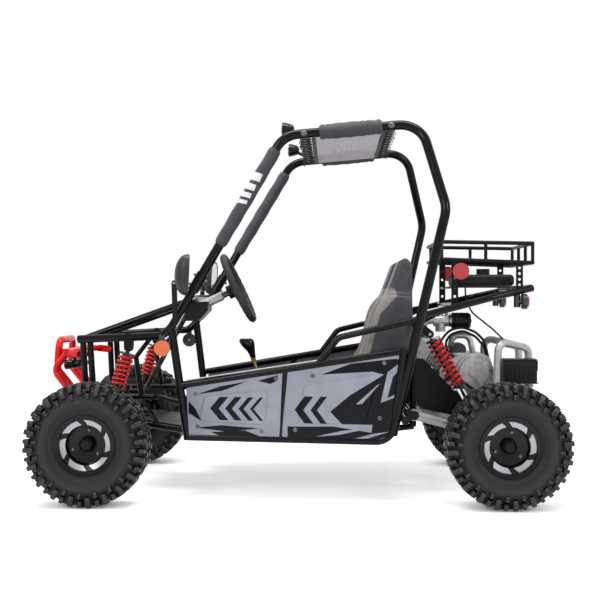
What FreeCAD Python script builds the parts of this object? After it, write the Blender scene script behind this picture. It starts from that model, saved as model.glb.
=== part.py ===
import FreeCAD, Part
import math
import os
import Sketcher
from FreeCAD import Placement, Rotation, Vector

# A small two-seat off-road buggy with a tube frame and a bolted roll cage.
# X points forward, Y to the driver's left and Z up, in millimetres. The origin is on the ground, midway
# between the axle lines.

DRIVING_SIZES = [
    # wheels
    ("wheelbase", 1380, "between the front and rear axle lines"),
    ("tyre_diameter", 406, "over the lugs"),
    ("lug_height", 13, "lug above the carcass"),
    ("lug_pitches", 20, "lugs round each side of a tyre"),
    ("front_track", 920, "between the middles of the front tyres"),
    ("rear_track", 900, "between the middles of the rear tyres"),
    ("front_tyre_width", 150, "front section width"),
    ("rear_tyre_width", 190, "rear section width"),
    ("bead_diameter", 178, "where the tyre sits on the rim"),
    ("flange_height", 11, "rim flange above the bead seat"),
    ("rim_wall", 4, "sheet of the rim"),
    ("flange_inset", 16, "rim flange inside the tyre's side"),
    ("well_depth", 14, "drop of the rim's well"),
    ("ring_diameter", 168, "outside of the bright ring on the rim's face"),
    ("dish_diameter", 130, "dish inside the bright ring"),
    ("dish_depth", 50, "dish behind the rim's outer flange"),
    ("hub_diameter", 46, "barrel of a hub"),
    ("hub_flange", 104, "flange of a hub"),
    ("stub_diameter", 20, "front stub axle"),
    ("axle_diameter", 30, "rear axle"),
    ("running_gap", 0.05, "radial gap of a shaft in its bore"),
    ("fabric_gap", 0.3, "soft pieces to what they wrap"),
    # tubes
    ("frame_tube", 28, "diameter of the frame's tubes"),
    ("rail_tube", 24, "diameter of the lighter rails"),
    ("cage_tube", 32, "diameter of the cage's tubes"),
    ("light_tube", 20, "diameter of the light tubes"),
    ("cross_tube", 26, "diameter of the cross tubes of the nose and dash"),
    ("floor_tube", 22, "diameter of the floor's lengthwise tubes"),
    ("plate_thickness", 4, "brackets"),
    # lower frame
    ("rail_height", 207, "middle of the lower rails"),
    ("post_station", 381, "foot of the cabin post"),
    ("post_top_station", 433, "top of the cabin post"),
    ("post_top_height", 585, "top of the cabin post"),
    ("post_top_half_width", 330, "top of the cabin post"),
    ("corner_station", -316, "rear lower corner of the side frame"),
    ("front_half_width", 300, "side frame's middle at the cabin post"),
    ("rear_half_width", 400, "side frame's middle at the rear corner"),
    ("side_lean", 0.05, "outward lean of the side frame"),
    ("sill_front_height", 385, "upper side rail at the cabin post"),
    ("sill_rear_height", 513, "upper side rail at the rear post"),
    ("corner_bend", 62, "bend of the rear lower corner"),
    ("divider_foot", 58, "station of the divider's foot"),
    ("divider_head", 40, "station of the divider's head"),
    ("arm_front", -70, "station where the arm bar leaves the sill"),
    ("arm_bend_station", -137, "bend of the arm bar"),
    ("arm_bend_height", 552, "bend of the arm bar"),
    ("arm_rear_height", 616, "arm bar at the cage"),
    ("seat_cross_station", -120, "floor cross tube under the seats"),
    ("cradle_half_width", 95, "lengthwise tubes of the floor"),
    # cage
    ("sleeve_height", 738, "joint of the cage and the frame's stub"),
    ("sleeve_length", 70, "joint of the cage and the frame's stub"),
    ("sleeve_wall", 3, "joint of the cage and the frame's stub"),
    ("roof_front_station", 46, "front corner of the roof"),
    ("roof_front_height", 1232, "front corner of the roof"),
    ("roof_rear_station", -413, "rear corner of the roof"),
    ("roof_rear_height", 1272, "rear corner of the roof"),
    ("roof_half_width", 366, "middle of the roof rails"),
    ("elbow_station", -490, "elbow of the rear hoop"),
    ("elbow_height", 978, "elbow of the rear hoop"),
    ("elbow_half_width", 470, "elbow of the rear hoop"),
    ("roof_bend", 90, "bends of the roof"),
    ("roof_front_cross", -22, "front cross tube of the roof"),
    ("roof_rear_cross", -315, "rear cross tube of the roof"),
    # nose
    ("nose_station", 776, "front of the nose rails"),
    ("nose_height", 539, "front of the nose rails"),
    ("nose_half_width", 228, "front of the nose rails"),
    ("nose_bend_station", 464, "bend of the nose rails"),
    ("nose_bend_height", 555, "bend of the nose rails"),
    ("nose_bend_half_width", 328, "bend of the nose rails"),
    ("nose_floor_station", 732, "front cross tube below"),
    ("nose_floor_height", 262, "front cross tube below"),
    ("nose_floor_half_width", 160, "lower nose rails"),
    ("nose_mid_height", 335, "middle nose rails"),
    ("nose_mid_half_width", 211, "middle nose rails"),
    ("nose_post_tube", 22, "diameter of the nose posts"),
    ("hood_half_width", 150, "hood tubes"),
    ("brace_station", 576, "joint of the nose's braces"),
    ("brace_height", 476, "joint of the nose's braces"),
    ("brace_foot_station", 556, "where the brace meets the middle rail"),
    ("toe_plate_front", 560, "front edge of the toe plate"),
    ("pan_thickness", 3, "floor pan, toe plate and splash plates"),
    ("dash_height", 682, "dash cross tube"),
    # bumper
    ("bumper_tube", 26, "diameter of the bumper's tube"),
    ("bumper_half_width", 100, "bumper's legs"),
    ("horn_half_width", 158, "bumper's outer tubes"),
    ("bumper_top_height", 530, "top of the bumper"),
    ("bumper_bar_height", 490, "cross bar of the bumper"),
    ("bumper_bar_station", 831, "cross bar of the bumper"),
    ("bumper_knee_height", 425, "foremost bend of the bumper"),
    ("bumper_front_station", 884, "foremost middle of the bumper"),
    # front suspension
    ("kingpin_half_width", 342, "kingpins"),
    ("kingpin_diameter", 14, "kingpin bolt"),
    ("knuckle_top", 262, "top of the knuckle"),
    ("knuckle_bottom", 150, "bottom of the knuckle"),
    ("knuckle_diameter", 34, "barrel of the knuckle"),
    ("arm_tube", 20, "diameter of the lower suspension arms"),
    ("arm_eye", 26, "eyes of the suspension arms"),
    ("arm_eye_length", 32, "eyes of the suspension arms"),
    ("lower_pivot_height", 245, "lower arm's pivots"),
    ("upper_pivot_height", 318, "upper arm's pivots"),
    ("pivot_half_width", 186, "lower arm's pivots"),
    ("front_damper_station", 587, "top eye of a front damper"),
    ("front_damper_drop", 35, "top eye of a front damper below the rail"),
    ("front_damper_foot_station", 676, "lower eye of a front damper"),
    ("front_damper_foot_height", 202, "lower eye of a front damper"),
    ("rear_damper_station", -457, "top eye of a rear damper"),
    ("rear_damper_height", 558, "top eye of a rear damper"),
    ("rear_damper_foot_station", -622, "lower eye of a rear damper"),
    ("rear_damper_foot_height", 262, "lower eye of a rear damper"),
    ("steering_arm", 90, "steering arm of a knuckle"),
    ("tie_rod_height", 222, "steering arms"),
    ("tie_rod_drop", 12, "tie rods below the steering arms"),
    ("tie_rod_diameter", 12, "tie rods"),
    ("tie_rod_pin", 8, "pin of a tie rod"),
    ("pitman_length", 43, "pitman arm"),
    ("coil_diameter", 55, "outside of the springs"),
    ("coil_wire", 9.5, "spring wire"),
    ("front_coil_turns", 7, "turns of a front spring"),
    ("rear_coil_turns", 9, "turns of a rear spring"),
    ("damper_eye", 24, "eyes of the dampers"),
    ("damper_eye_length", 20, "eyes of the dampers"),
    ("damper_body", 30, "diameter of a damper's body"),
    ("damper_rod", 14, "diameter of a damper's rod"),
    # steering
    ("wheel_station", 216, "middle of the steering wheel"),
    ("wheel_side", 190, "middle of the steering wheel"),
    ("wheel_height", 719, "middle of the steering wheel"),
    ("wheel_diameter", 265, "steering wheel"),
    ("grip_diameter", 26, "rim of the steering wheel"),
    ("column_slope", 25.4, "column above the horizontal, degrees"),
    ("column_length", 198, "wheel to the universal joint"),
    ("column_diameter", 22, "upper steering shaft"),
    ("column_tube", 32, "bearing tube round the upper shaft"),
    ("lower_shaft_diameter", 18, "lower steering shaft"),
    # rear
    ("swing_pivot_station", -404, "front pivot of the swing arm"),
    ("swing_pivot_height", 274, "front pivot of the swing arm"),
    ("swing_half_width", 205, "swing arm's sides"),
    ("swing_tube", 36, "diameter of the swing arm"),
    ("housing_diameter", 62, "axle bearing housings"),
    ("housing_length", 44, "axle bearing housings"),
    ("disc_diameter", 160, "brake disc"),
    ("disc_side", 130, "brake disc, on the right"),
    ("disc_thickness", 5, "brake disc"),
    ("sprocket_diameter", 140, "rear sprocket over the teeth"),
    ("sprocket_teeth", 30, "teeth of the rear sprocket"),
    ("drive_diameter", 56, "engine's sprocket over the teeth"),
    ("chain_side", 130, "middle of the chain, on the left"),
    ("chain_height", 10, "link plates"),
    ("guard_tube", 27, "diameter of the rear guard"),
    ("guard_half_width", 178, "front legs of the rear guard"),
    ("guard_rear_half_width", 100, "rear legs of the rear guard"),
    ("guard_height", 530, "top of the rear guard"),
    ("guard_rear", -822, "rear of the rear guard"),
    # rear frame
    ("tail_station", -812, "end of the rear rails"),
    ("tail_height", 719, "end of the rear rails"),
    ("tail_half_width", 230, "end of the rear rails"),
    ("tail_bend_station", -656, "bend of the rear rails"),
    ("tail_bend_height", 684, "bend of the rear rails"),
    ("tail_bend_half_width", 290, "bend of the rear rails"),
    ("tail_root_height", 625, "rear rails at the hoop"),
    ("seat_back_height", 600, "cross tube behind the seats"),
    ("upright_half_width", 150, "uprights behind the seats"),
    ("rear_damper_side", 222, "middle of the rear dampers"),
    # rack
    ("rack_front", -490, "front of the rack"),
    ("rack_rear", -816, "rear of the rack"),
    ("rack_half_width", 213, "side of the rack"),
    ("rack_floor_height", 814, "lower rail of the rack"),
    ("rack_top_height", 878, "top rail of the rack"),
    ("rack_tube", 14, "tubes of the rack"),
    ("rack_bars", 6, "spaces between the bars of the rack's floor"),
    ("support_front", -545, "front supports of the rack"),
    ("support_rear", -770, "rear supports of the rack"),
    ("support_width", 24, "flat bars of the rack's supports"),
    ("tray_height", 726, "top of the straps below the tank"),
    # tank and battery
    ("tank_length", 205, "fuel tank"),
    ("tank_width", 300, "fuel tank"),
    ("tank_height", 42, "fuel tank"),
    ("tank_station", -765, "rear of the fuel tank"),
    ("tank_round", 16, "corners of the fuel tank"),
    ("battery_length", 116, "battery box"),
    ("battery_width", 80, "battery box"),
    ("battery_height", 86, "battery box"),
    ("battery_lid", 40, "lid of the battery box"),
    ("battery_station", -835, "rear of the battery box"),
    ("battery_floor", 383, "bottom of the battery box"),
    ("battery_side", 118, "right side of the battery box"),
    ("tray_bar", 16, "bars below the battery box"),
    # engine
    ("engine_station", -610, "crankshaft"),
    ("engine_height", 425, "crankshaft"),
    ("case_length", 190, "crankcase"),
    ("case_half_width", 90, "crankcase"),
    ("case_height", 135, "crankcase"),
    ("case_drop", 75, "crankcase's underside below the crankshaft"),
    ("output_station", -548, "engine's output shaft"),
    ("output_height", 372, "engine's output shaft"),
    ("starter_diameter", 52, "starter motor"),
    ("breather_diameter", 22, "pipe over the crankcase"),
    ("cover_diameter", 124, "round cover on the engine's left"),
    ("cylinder_slope", 23, "cylinder above the horizontal, degrees"),
    ("cylinder_diameter", 76, "cylinder"),
    ("fin_width", 92, "cooling fins"),
    ("fin_thickness", 3, "cooling fins"),
    ("fin_pitch", 9, "cooling fins"),
    ("fin_count", 9, "cooling fins"),
    ("intake_height", 600, "middle of the carburettor and air filter"),
    ("intake_side", 20, "middle of the carburettor and air filter"),
    ("filter_diameter", 60, "air filter"),
    ("filter_length", 84, "air filter"),
    ("muffler_diameter", 58, "muffler"),
    ("muffler_length", 160, "muffler"),
    # seats
    ("seat_side", 190, "middle of a seat"),
    ("seat_width", 330, "seat"),
    ("bolster_width", 60, "side bolsters of a seat"),
    # lamps, mirrors and small pieces
    ("lamp_diameter", 50, "roof lamps"),
    ("lamp_depth", 42, "roof lamps"),
    ("roof_lamp_side", 261, "roof lamps"),
    ("spot_diameter", 37, "nose lamps"),
    ("spot_depth", 56, "nose lamps"),
    ("spot_station", 867, "lens of a nose lamp"),
    ("spot_side", 62, "middle of a nose lamp"),
    ("spot_height", 439, "middle of a nose lamp"),
    ("roof_lamp_station", 57, "lens of a roof lamp"),
    ("roof_lamp_height", 1268, "middle of a roof lamp"),
    ("reflector_diameter", 54, "front reflectors"),
    ("rear_reflector_diameter", 58, "rear reflectors"),
    ("reflector_thickness", 8, "reflectors"),
    ("tail_lamp_diameter", 53, "tail lamps"),
    ("tail_lamp_depth", 26, "tail lamps"),
    ("mirror_height", 141, "mirrors"),
    ("mirror_width", 92, "mirrors"),
    ("mirror_depth", 46, "mirrors"),
    ("mirror_station", 366, "middle of a mirror's glass"),
    ("mirror_side", 395, "middle of a mirror's glass"),
    ("mirror_middle_height", 762, "middle of a mirror's glass"),
    ("pillar_pad_diameter", 46, "pads on the cage's pillars"),
    ("roof_pad_diameter", 53, "pads on the roof rails"),
    ("canopy_half_width", 336, "canopy"),
    ("canopy_thickness", 4, "canopy"),
    ("canopy_drop", 16, "canopy below the middle of the roof rails"),
    ("hose_diameter", 9, "hoses over the engine"),
    ("cable_diameter", 6, "cables and vent hose"),
]

doc = FreeCAD.newDocument("Buggy")
sheet = doc.addObject("Spreadsheet::Sheet", "Sizes")
for row, (alias, value, meaning) in enumerate(DRIVING_SIZES, start=1):
    sheet.set(f"A{row}", alias)
    sheet.set(f"B{row}", str(value))
    sheet.set(f"C{row}", meaning)
    sheet.setAlias(f"B{row}", alias)
doc.recompute()


class Size(float):
    """A number that remembers the sheet expression that gives it."""

    def __new__(cls, value, text):
        made = super().__new__(cls, value)
        made.text = text
        return made

    def joined(self, sign, other, value):
        right = other.text if isinstance(other, Size) else repr(other)
        return Size(value, f"({self.text} {sign} {right})")

    def __add__(self, other):
        return self.joined("+", other, float(self) + float(other))

    def __sub__(self, other):
        return self.joined("-", other, float(self) - float(other))

    def __mul__(self, other):
        return self.joined("*", other, float(self) * float(other))

    def __truediv__(self, other):
        return self.joined("/", other, float(self) / float(other))

    def __neg__(self):
        return Size(-float(self), f"(-{self.text})")


class Sizes:
    """The sheet's sizes by name."""

    def __getattr__(self, name):
        return Size(sheet.get(name), f"Sizes.{name}")


size = Sizes()
LEFT = Vector(0, 1, 0)
UP = Vector(0, 0, 1)
FORWARD = Vector(1, 0, 0)
PARTS = []


def keep(item, label):
    item.Label = label
    PARTS.append(item)
    return item


def feature(label, shape):
    """A sub-part whose shape comes from Part's own functions."""
    item = doc.addObject("Part::Feature", label)
    item.Shape = shape
    return keep(item, label)


# Objects whose sizes are tied to the sheet.


def tie(item, sizes):
    """Set properties, tied to the sheet where the value comes from it."""
    for name, value in sizes.items():
        setattr(item, name, float(value))
        if isinstance(value, Size):
            item.setExpression(name, value.text)
    return item


def drum(name, radius, length, start, direction):
    """A round bar or disc."""
    item = tie(doc.addObject("Part::Cylinder", name), {"Radius": radius, "Height": length})
    item.Placement = Placement(start, Rotation(UP, direction))
    return item


def block(name, length, width, height, corner):
    """A box with its lowest corner at a point."""
    item = tie(doc.addObject("Part::Box", name), {"Length": length, "Width": width, "Height": height})
    item.Placement = Placement(corner, Rotation())
    return item


def ball(name, radius, middle):
    item = tie(doc.addObject("Part::Sphere", name), {"Radius": radius})
    item.Placement = Placement(middle, Rotation())
    return item


def united(name, items):
    item = doc.addObject("Part::MultiFuse", name)
    item.Shapes = items
    return item


def gathered(name, items):
    """Solids that share a node and don't touch."""
    item = doc.addObject("Part::Compound", name)
    item.Links = items
    return item


def opposite(name, item):
    """The mirror image on the other side of the buggy."""
    copy = doc.addObject("Part::Mirroring", name)
    copy.Source = item
    copy.Normal = LEFT
    return copy


def pair(label, item):
    """A node that holds a piece and its mirror image."""
    return keep(gathered(label, [item, opposite(f"{label}Opposite", item)]), label)


def body_sketch(name, role, points):
    """A body with a closed sketch whose corners are tied to the sheet, on one of its own planes."""
    body = doc.addObject("PartDesign::Body", name)
    plane = [f for f in body.Origin.OriginFeatures if f.Role == role][0]
    sketch = body.newObject("Sketcher::SketchObject", f"{name}Profile")
    sketch.AttachmentSupport = [(plane, "")]
    sketch.MapMode = "FlatFace"
    corners = [Vector(float(across), float(up), 0) for across, up in points]
    for start, end in zip(corners, corners[1:] + corners[:1]):
        sketch.addGeometry(Part.LineSegment(start, end), False)
    for i, (across, up) in enumerate(points):
        sketch.addConstraint(Sketcher.Constraint("Coincident", (i - 1) % len(points), 2, i, 1))
        if float(across) == 0:
            sketch.addConstraint(Sketcher.Constraint("PointOnObject", i, 1, -2))
        else:
            index = sketch.addConstraint(Sketcher.Constraint("DistanceX", -1, 1, i, 1, float(across)))
            if isinstance(across, Size):
                sketch.setExpression(f"Constraints[{index}]", across.text)
        if float(up) == 0:
            sketch.addConstraint(Sketcher.Constraint("PointOnObject", i, 1, -1))
        else:
            index = sketch.addConstraint(Sketcher.Constraint("DistanceY", -1, 1, i, 1, float(up)))
            if isinstance(up, Size):
                sketch.setExpression(f"Constraints[{index}]", up.text)
    return body, sketch


def turned(name, profile):
    """A body turned about Y from (along, radius) points."""
    body, sketch = body_sketch(name, "XY_Plane", [(radius, along) for along, radius in profile])
    turn = body.newObject("PartDesign::Revolution", f"{name}Turn")
    turn.Profile = sketch
    turn.ReferenceAxis = (sketch, ["V_Axis"])
    turn.Angle = 360
    body.Tip = turn
    return body


def padded(name, role, outline, thickness):
    """A plate of one thickness from a flat outline."""
    body, sketch = body_sketch(name, role, outline)
    pad = body.newObject("PartDesign::Pad", f"{name}Pad")
    pad.Profile = sketch
    tie(pad, {"Length": thickness})
    body.Tip = pad
    return body


def rounded(body, radius, chosen=lambda edge: True):
    """Round the edges of a body that a test picks."""
    doc.recompute()
    last = body.Tip
    names = [f"Edge{i}" for i, edge in enumerate(last.Shape.Edges, start=1) if chosen(edge)]
    fillet = body.newObject("PartDesign::Fillet", f"{body.Name}Round")
    fillet.Base = (last, names)
    tie(fillet, {"Radius": radius})
    body.Tip = fillet
    return body


def aimed(body, start, direction):
    """Put a turned body's axis on a line."""
    body.Placement = Placement(start, Rotation(LEFT, direction))
    return body


def put(item, spot):
    item.Placement = Placement(spot, Rotation())
    return item


# Shapes in space.


def fuse(shapes):
    shapes = list(shapes)
    return shapes[0].multiFuse(shapes[1:]) if len(shapes) > 1 else shapes[0]


def without(shape, *others):
    """A shape cut back to the faces of what it meets."""
    for other in others:
        shape = shape.cut(other)
    return shape


def group(shapes):
    return Part.makeCompound([solid for shape in shapes for solid in shape.Solids])


def mirrored(shape):
    return shape.mirror(Vector(), LEFT)


def both(shape):
    return [shape, mirrored(shape)]


def on_right(point):
    return Vector(point.x, -point.y, point.z)


def at_side(point, side):
    return Vector(point.x, side, point.z)


def lifted(point, height):
    return Vector(point.x, point.y, height)


def share_of(start, end, share):
    return start + (end - start) * share


def between(start, end, height):
    """The point of a line at a height."""
    return share_of(start, end, (height - start.z) / (end.z - start.z))


def at_station(start, end, station):
    """The point of a line at a station."""
    return share_of(start, end, (station - start.x) / (end.x - start.x))


def rod(start, end, diameter):
    """A straight round bar."""
    run = end - start
    return Part.makeCylinder(diameter / 2, run.Length, start, run)


def cross(point, diameter):
    """A bar from a point to the same point on the other side."""
    return rod(point, on_right(point), diameter)


def bent_path(points, bend):
    """Straight runs joined by arcs of one radius."""
    edges = []
    start = points[0]
    for before, corner, after in zip(points, points[1:], points[2:]):
        back = (before - corner).normalize()
        ahead = (after - corner).normalize()
        half = back.getAngle(ahead) / 2
        reach = bend / math.tan(half)
        middle = (back + ahead).normalize() * (bend / math.sin(half) - bend)
        first = corner + back * reach
        last = corner + ahead * reach
        edges.append(Part.LineSegment(start, first).toShape())
        edges.append(Part.Arc(first, corner + middle, last).toShape())
        start = last
    edges.append(Part.LineSegment(start, points[-1]).toShape())
    return Part.Wire(edges)


def tube(points, diameter, bend=0):
    """A tube through points, bent to one radius at its corners."""
    if len(points) == 2:
        return rod(points[0], points[1], diameter)
    circle = Part.Wire(Part.makeCircle(diameter / 2, points[0], points[1] - points[0]))
    return bent_path(points, bend).makePipeShell([circle], True, False)


def rounded_outline(corners, radii):
    """A closed flat outline whose corners have the given radii, 0 for a sharp one."""
    edges = []
    count = len(corners)
    ends = []
    for i, (corner, radius) in enumerate(zip(corners, radii)):
        back = (corners[i - 1] - corner).normalize()
        ahead = (corners[(i + 1) % count] - corner).normalize()
        if radius == 0:
            ends.append((corner, None, corner))
            continue
        half = back.getAngle(ahead) / 2
        middle = (back + ahead).normalize() * (radius / math.sin(half) - radius)
        reach = radius / math.tan(half)
        ends.append((corner + back * reach, corner + middle, corner + ahead * reach))
    for i, (first, middle, last) in enumerate(ends):
        if middle is not None:
            edges.append(Part.Arc(first, middle, last).toShape())
        edges.append(Part.LineSegment(last, ends[(i + 1) % count][0]).toShape())
    return Part.Wire(edges)


def plate(corners, thickness, direction, radii=None):
    """A flat plate on three or more corners, thickened along a direction."""
    face = Part.Face(rounded_outline(corners, radii or [0] * len(corners)))
    return face.extrude(Vector(direction).normalize() * thickness)


def lug(first, second, radius, thickness, normal):
    """A flat bracket with round ends about two centres."""
    normal = Vector(normal).normalize()
    run = second - first
    run -= normal * run.dot(normal)
    ahead = Vector(run).normalize() * radius
    side = normal.cross(ahead)
    last = first + run
    outline = Part.Wire([
        Part.LineSegment(first + side, last + side).toShape(),
        Part.Arc(last + side, last + ahead, last - side).toShape(),
        Part.LineSegment(last - side, first - side).toShape(),
        Part.Arc(first - side, first - ahead, first + side).toShape(),
    ])
    face = Part.Face(outline)
    face.translate(normal * (-thickness / 2))
    return face.extrude(normal * thickness)


def clevis(eye, root, radius, eye_length, normal):
    """Two lugs that hold an eye between them."""
    step = Vector(normal).normalize() * ((eye_length + size.plate_thickness) / 2)
    return [
        lug(root + way, eye + way, radius, size.plate_thickness, normal) for way in (step, step * -1)
    ]


# Points of the frame, on the left side.


def side_point(station, height):
    """A point of the side frame's leaning plane."""
    flare = (size.rear_half_width - size.front_half_width) / (size.post_station - size.corner_station)
    width = size.front_half_width + flare * (size.post_station - station)
    return Vector(station, width + size.side_lean * (height - size.rail_height), height)


AXLE_HEIGHT = size.tyre_diameter / 2
FRONT_AXLE = size.wheelbase / 2
REAR_AXLE = -FRONT_AXLE

post_foot = side_point(size.post_station, size.rail_height)
post_head = Vector(size.post_top_station, size.post_top_half_width, size.post_top_height)
rear_corner = side_point(size.corner_station, size.rail_height)
roof_front = Vector(size.roof_front_station, size.roof_half_width, size.roof_front_height)
roof_rear = Vector(size.roof_rear_station, size.roof_half_width, size.roof_rear_height)
elbow = Vector(size.elbow_station, size.elbow_half_width, size.elbow_height)
hoop_foot = Vector(rear_corner.x - 2, rear_corner.y + 4, rear_corner.z + 22)
sill_front = between(post_foot, post_head, size.sill_front_height)
sill_rear = between(hoop_foot, elbow, size.sill_rear_height)
arm_rear = between(hoop_foot, elbow, size.arm_rear_height)
sleeve = between(post_head, roof_front, size.sleeve_height)
dash = between(post_head, roof_front, size.dash_height)
rear_post_head = sill_rear + Vector(size.frame_tube, 0, 5)
seat_back = between(hoop_foot, elbow, size.seat_back_height)
tail_root = between(hoop_foot, elbow, size.tail_root_height)
tail_bend = Vector(size.tail_bend_station, size.tail_bend_half_width, size.tail_bend_height)
tail = Vector(size.tail_station, size.tail_half_width, size.tail_height)
nose_tip = Vector(size.nose_station, size.nose_half_width, size.nose_height)
nose_bend = Vector(size.nose_bend_station, size.nose_bend_half_width, size.nose_bend_height)
nose_floor = Vector(size.nose_floor_station, size.nose_floor_half_width, size.nose_floor_height)
front_cross = at_side(post_foot, size.nose_floor_half_width)
swing_front = Vector(size.swing_pivot_station, size.swing_half_width, size.swing_pivot_height)
swing_rear = Vector(REAR_AXLE, size.swing_half_width, AXLE_HEIGHT)
kingpin = Vector(FRONT_AXLE, size.kingpin_half_width, 0)

# Ends of the dampers.
front_damper_top = at_station(nose_bend, nose_tip, size.front_damper_station) - UP * size.front_damper_drop
front_damper_foot = Vector(size.front_damper_foot_station, front_damper_top.y, size.front_damper_foot_height)
rear_damper_top = Vector(size.rear_damper_station, size.rear_damper_side, size.rear_damper_height)
rear_damper_foot = Vector(size.rear_damper_foot_station, size.swing_half_width + 4, size.rear_damper_foot_height)

# Pivots of the front arms: pairs of (station, side, height).
LOWER_PIVOTS = [Vector(station, size.pivot_half_width, size.lower_pivot_height) for station in (725, 625)]
UPPER_PIVOTS = [Vector(station, size.pivot_half_width + 6, size.upper_pivot_height) for station in (728, 655)]

# Steering line.
slope = math.radians(size.column_slope)
column_axis = Vector(-math.cos(slope), 0, math.sin(slope))
wheel_middle = Vector(size.wheel_station, size.wheel_side, size.wheel_height)
joint_middle = wheel_middle - column_axis * size.column_length
pitman_eye = Vector(FRONT_AXLE - size.steering_arm, 12, size.tie_rod_height)
pitman_foot = Vector(pitman_eye.x + size.pitman_length, 0, size.tie_rod_height + 8)
lower_axis = (joint_middle - pitman_foot).normalize()
foot_bearing = pitman_foot - lower_axis * 15


# Side frames.


def side_frame():
    divider_foot = at_station(post_foot, rear_corner, size.divider_foot)
    divider_head = at_station(sill_front, sill_rear, size.divider_head)
    arm_front = at_station(sill_front, sill_rear, size.arm_front)
    arm_bend = Vector(size.arm_bend_station, arm_front.y, size.arm_bend_height)
    return fuse([
        tube([post_foot, rear_corner, rear_post_head], size.frame_tube, size.corner_bend),
        rod(post_foot - UP * 10, post_head, size.frame_tube),
        rod(sill_front, sill_rear, size.rail_tube),
        rod(divider_foot, divider_head, size.light_tube),
        tube([arm_front, arm_bend, arm_rear], size.light_tube + 2, 40),
    ])


# Roll cage.


def roll_cage():
    rail = tube([sleeve, roof_front, roof_rear, elbow, hoop_foot], size.cage_tube, size.roof_bend)
    reach = (roof_front - sleeve).normalize() * (size.sleeve_length / 2)
    joint = rod(sleeve - reach, sleeve + reach, size.cage_tube + 2 * size.sleeve_wall)
    stations = (size.roof_front_cross, size.roof_rear_cross)
    crosses = [cross(at_station(roof_front, roof_rear, station), size.rail_tube) for station in stations]
    return fuse(both(rail) + both(joint) + crosses)


# Nose frame with the brackets of the front suspension.

# Each nose post: how far its top is behind the rail's tip and how far its foot is behind its top.
NOSE_POSTS = ((14, 14), (39, 16))


def nose_side():
    mid_front = Vector(size.nose_floor_station, size.nose_mid_half_width - 3, size.nose_mid_height)
    mid_rear = Vector(500, size.nose_mid_half_width + 4, size.nose_mid_height)
    brace_head = Vector(size.brace_station, size.nose_mid_half_width + 4, size.brace_height)
    brace_foot = Vector(size.brace_foot_station, size.nose_mid_half_width + 4, size.nose_mid_height)
    hood_front = Vector(size.nose_station - 10, size.hood_half_width, size.nose_height + 2)
    tubes = [
        tube([post_head, nose_bend, nose_tip], size.frame_tube, 40),
        rod(nose_floor, front_cross, size.rail_tube),
        tube([mid_front, mid_rear, between(post_foot, post_head, size.nose_mid_height - 15)], size.light_tube, 60),
        rod(hood_front, at_side(dash, size.hood_half_width), size.rail_tube),
        rod(post_head, sleeve, size.frame_tube),
        rod(share_of(nose_bend, nose_tip, 0.12), brace_head, size.light_tube - 4),
        rod(brace_head, brace_foot, size.light_tube - 2),
        rod(brace_foot, Vector(505, size.nose_floor_half_width, 228), size.light_tube - 6),
    ]
    for setback, lean in NOSE_POSTS:
        top = nose_tip - Vector(setback, 2, 0)
        foot = Vector(top.x - lean, top.y - 8, size.nose_floor_height)
        tubes.append(rod(foot, top, size.nose_post_tube))
    rail_spot = at_station(nose_bend, nose_tip, front_damper_top.x)
    brackets = clevis(front_damper_top, rail_spot, 15, size.damper_eye_length, LEFT)
    for pivot in LOWER_PIVOTS:
        root = at_station(nose_floor, front_cross, pivot.x)
        brackets += clevis(pivot, root, size.arm_eye / 2, size.arm_eye_length, FORWARD)
    for pivot in UPPER_PIVOTS:
        root = Vector(pivot.x, size.nose_mid_half_width, size.nose_mid_height)
        brackets += clevis(pivot, root, size.arm_eye / 2 - 2, size.arm_eye_length, FORWARD)
    return fuse(tubes + brackets)


def nose_frame():
    floor_end = Vector(size.nose_floor_station, size.nose_half_width - 10, size.nose_floor_height)
    bearing = rod(foot_bearing - lower_axis * 11, foot_bearing + lower_axis * 11, 32)
    shaft = rod(foot_bearing - lower_axis * 40, foot_bearing + lower_axis * 40,
                size.lower_shaft_diameter + 2 * size.running_gap)
    bearing_tube = at_station(nose_floor, front_cross, 672)
    crosses = [
        cross(nose_tip - Vector(6, 0, 0), size.cross_tube),
        cross(floor_end, size.frame_tube),
        cross(dash, size.cross_tube),
        cross(bearing_tube, size.light_tube - 2),
        rod(at_side(bearing_tube, foot_bearing.y), foot_bearing, size.light_tube - 2),
        bearing,
    ]
    return fuse(both(nose_side()) + crosses).cut(shaft)


# Floor.


def floor_tubes():
    stations = [size.post_station, size.divider_foot, size.seat_cross_station, size.corner_station + size.corner_bend]
    crosses = [cross(at_station(post_foot, rear_corner, station), size.rail_tube) for station in stations]
    rail = [
        Vector(size.post_station, size.cradle_half_width, size.rail_height),
        Vector(size.corner_station + 16, size.cradle_half_width, size.rail_height),
        Vector(size.swing_pivot_station, size.upright_half_width, size.rail_height + 20),
    ]
    return crosses + both(tube(rail, size.floor_tube, 60))


# Rear frame behind the seats.


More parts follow.
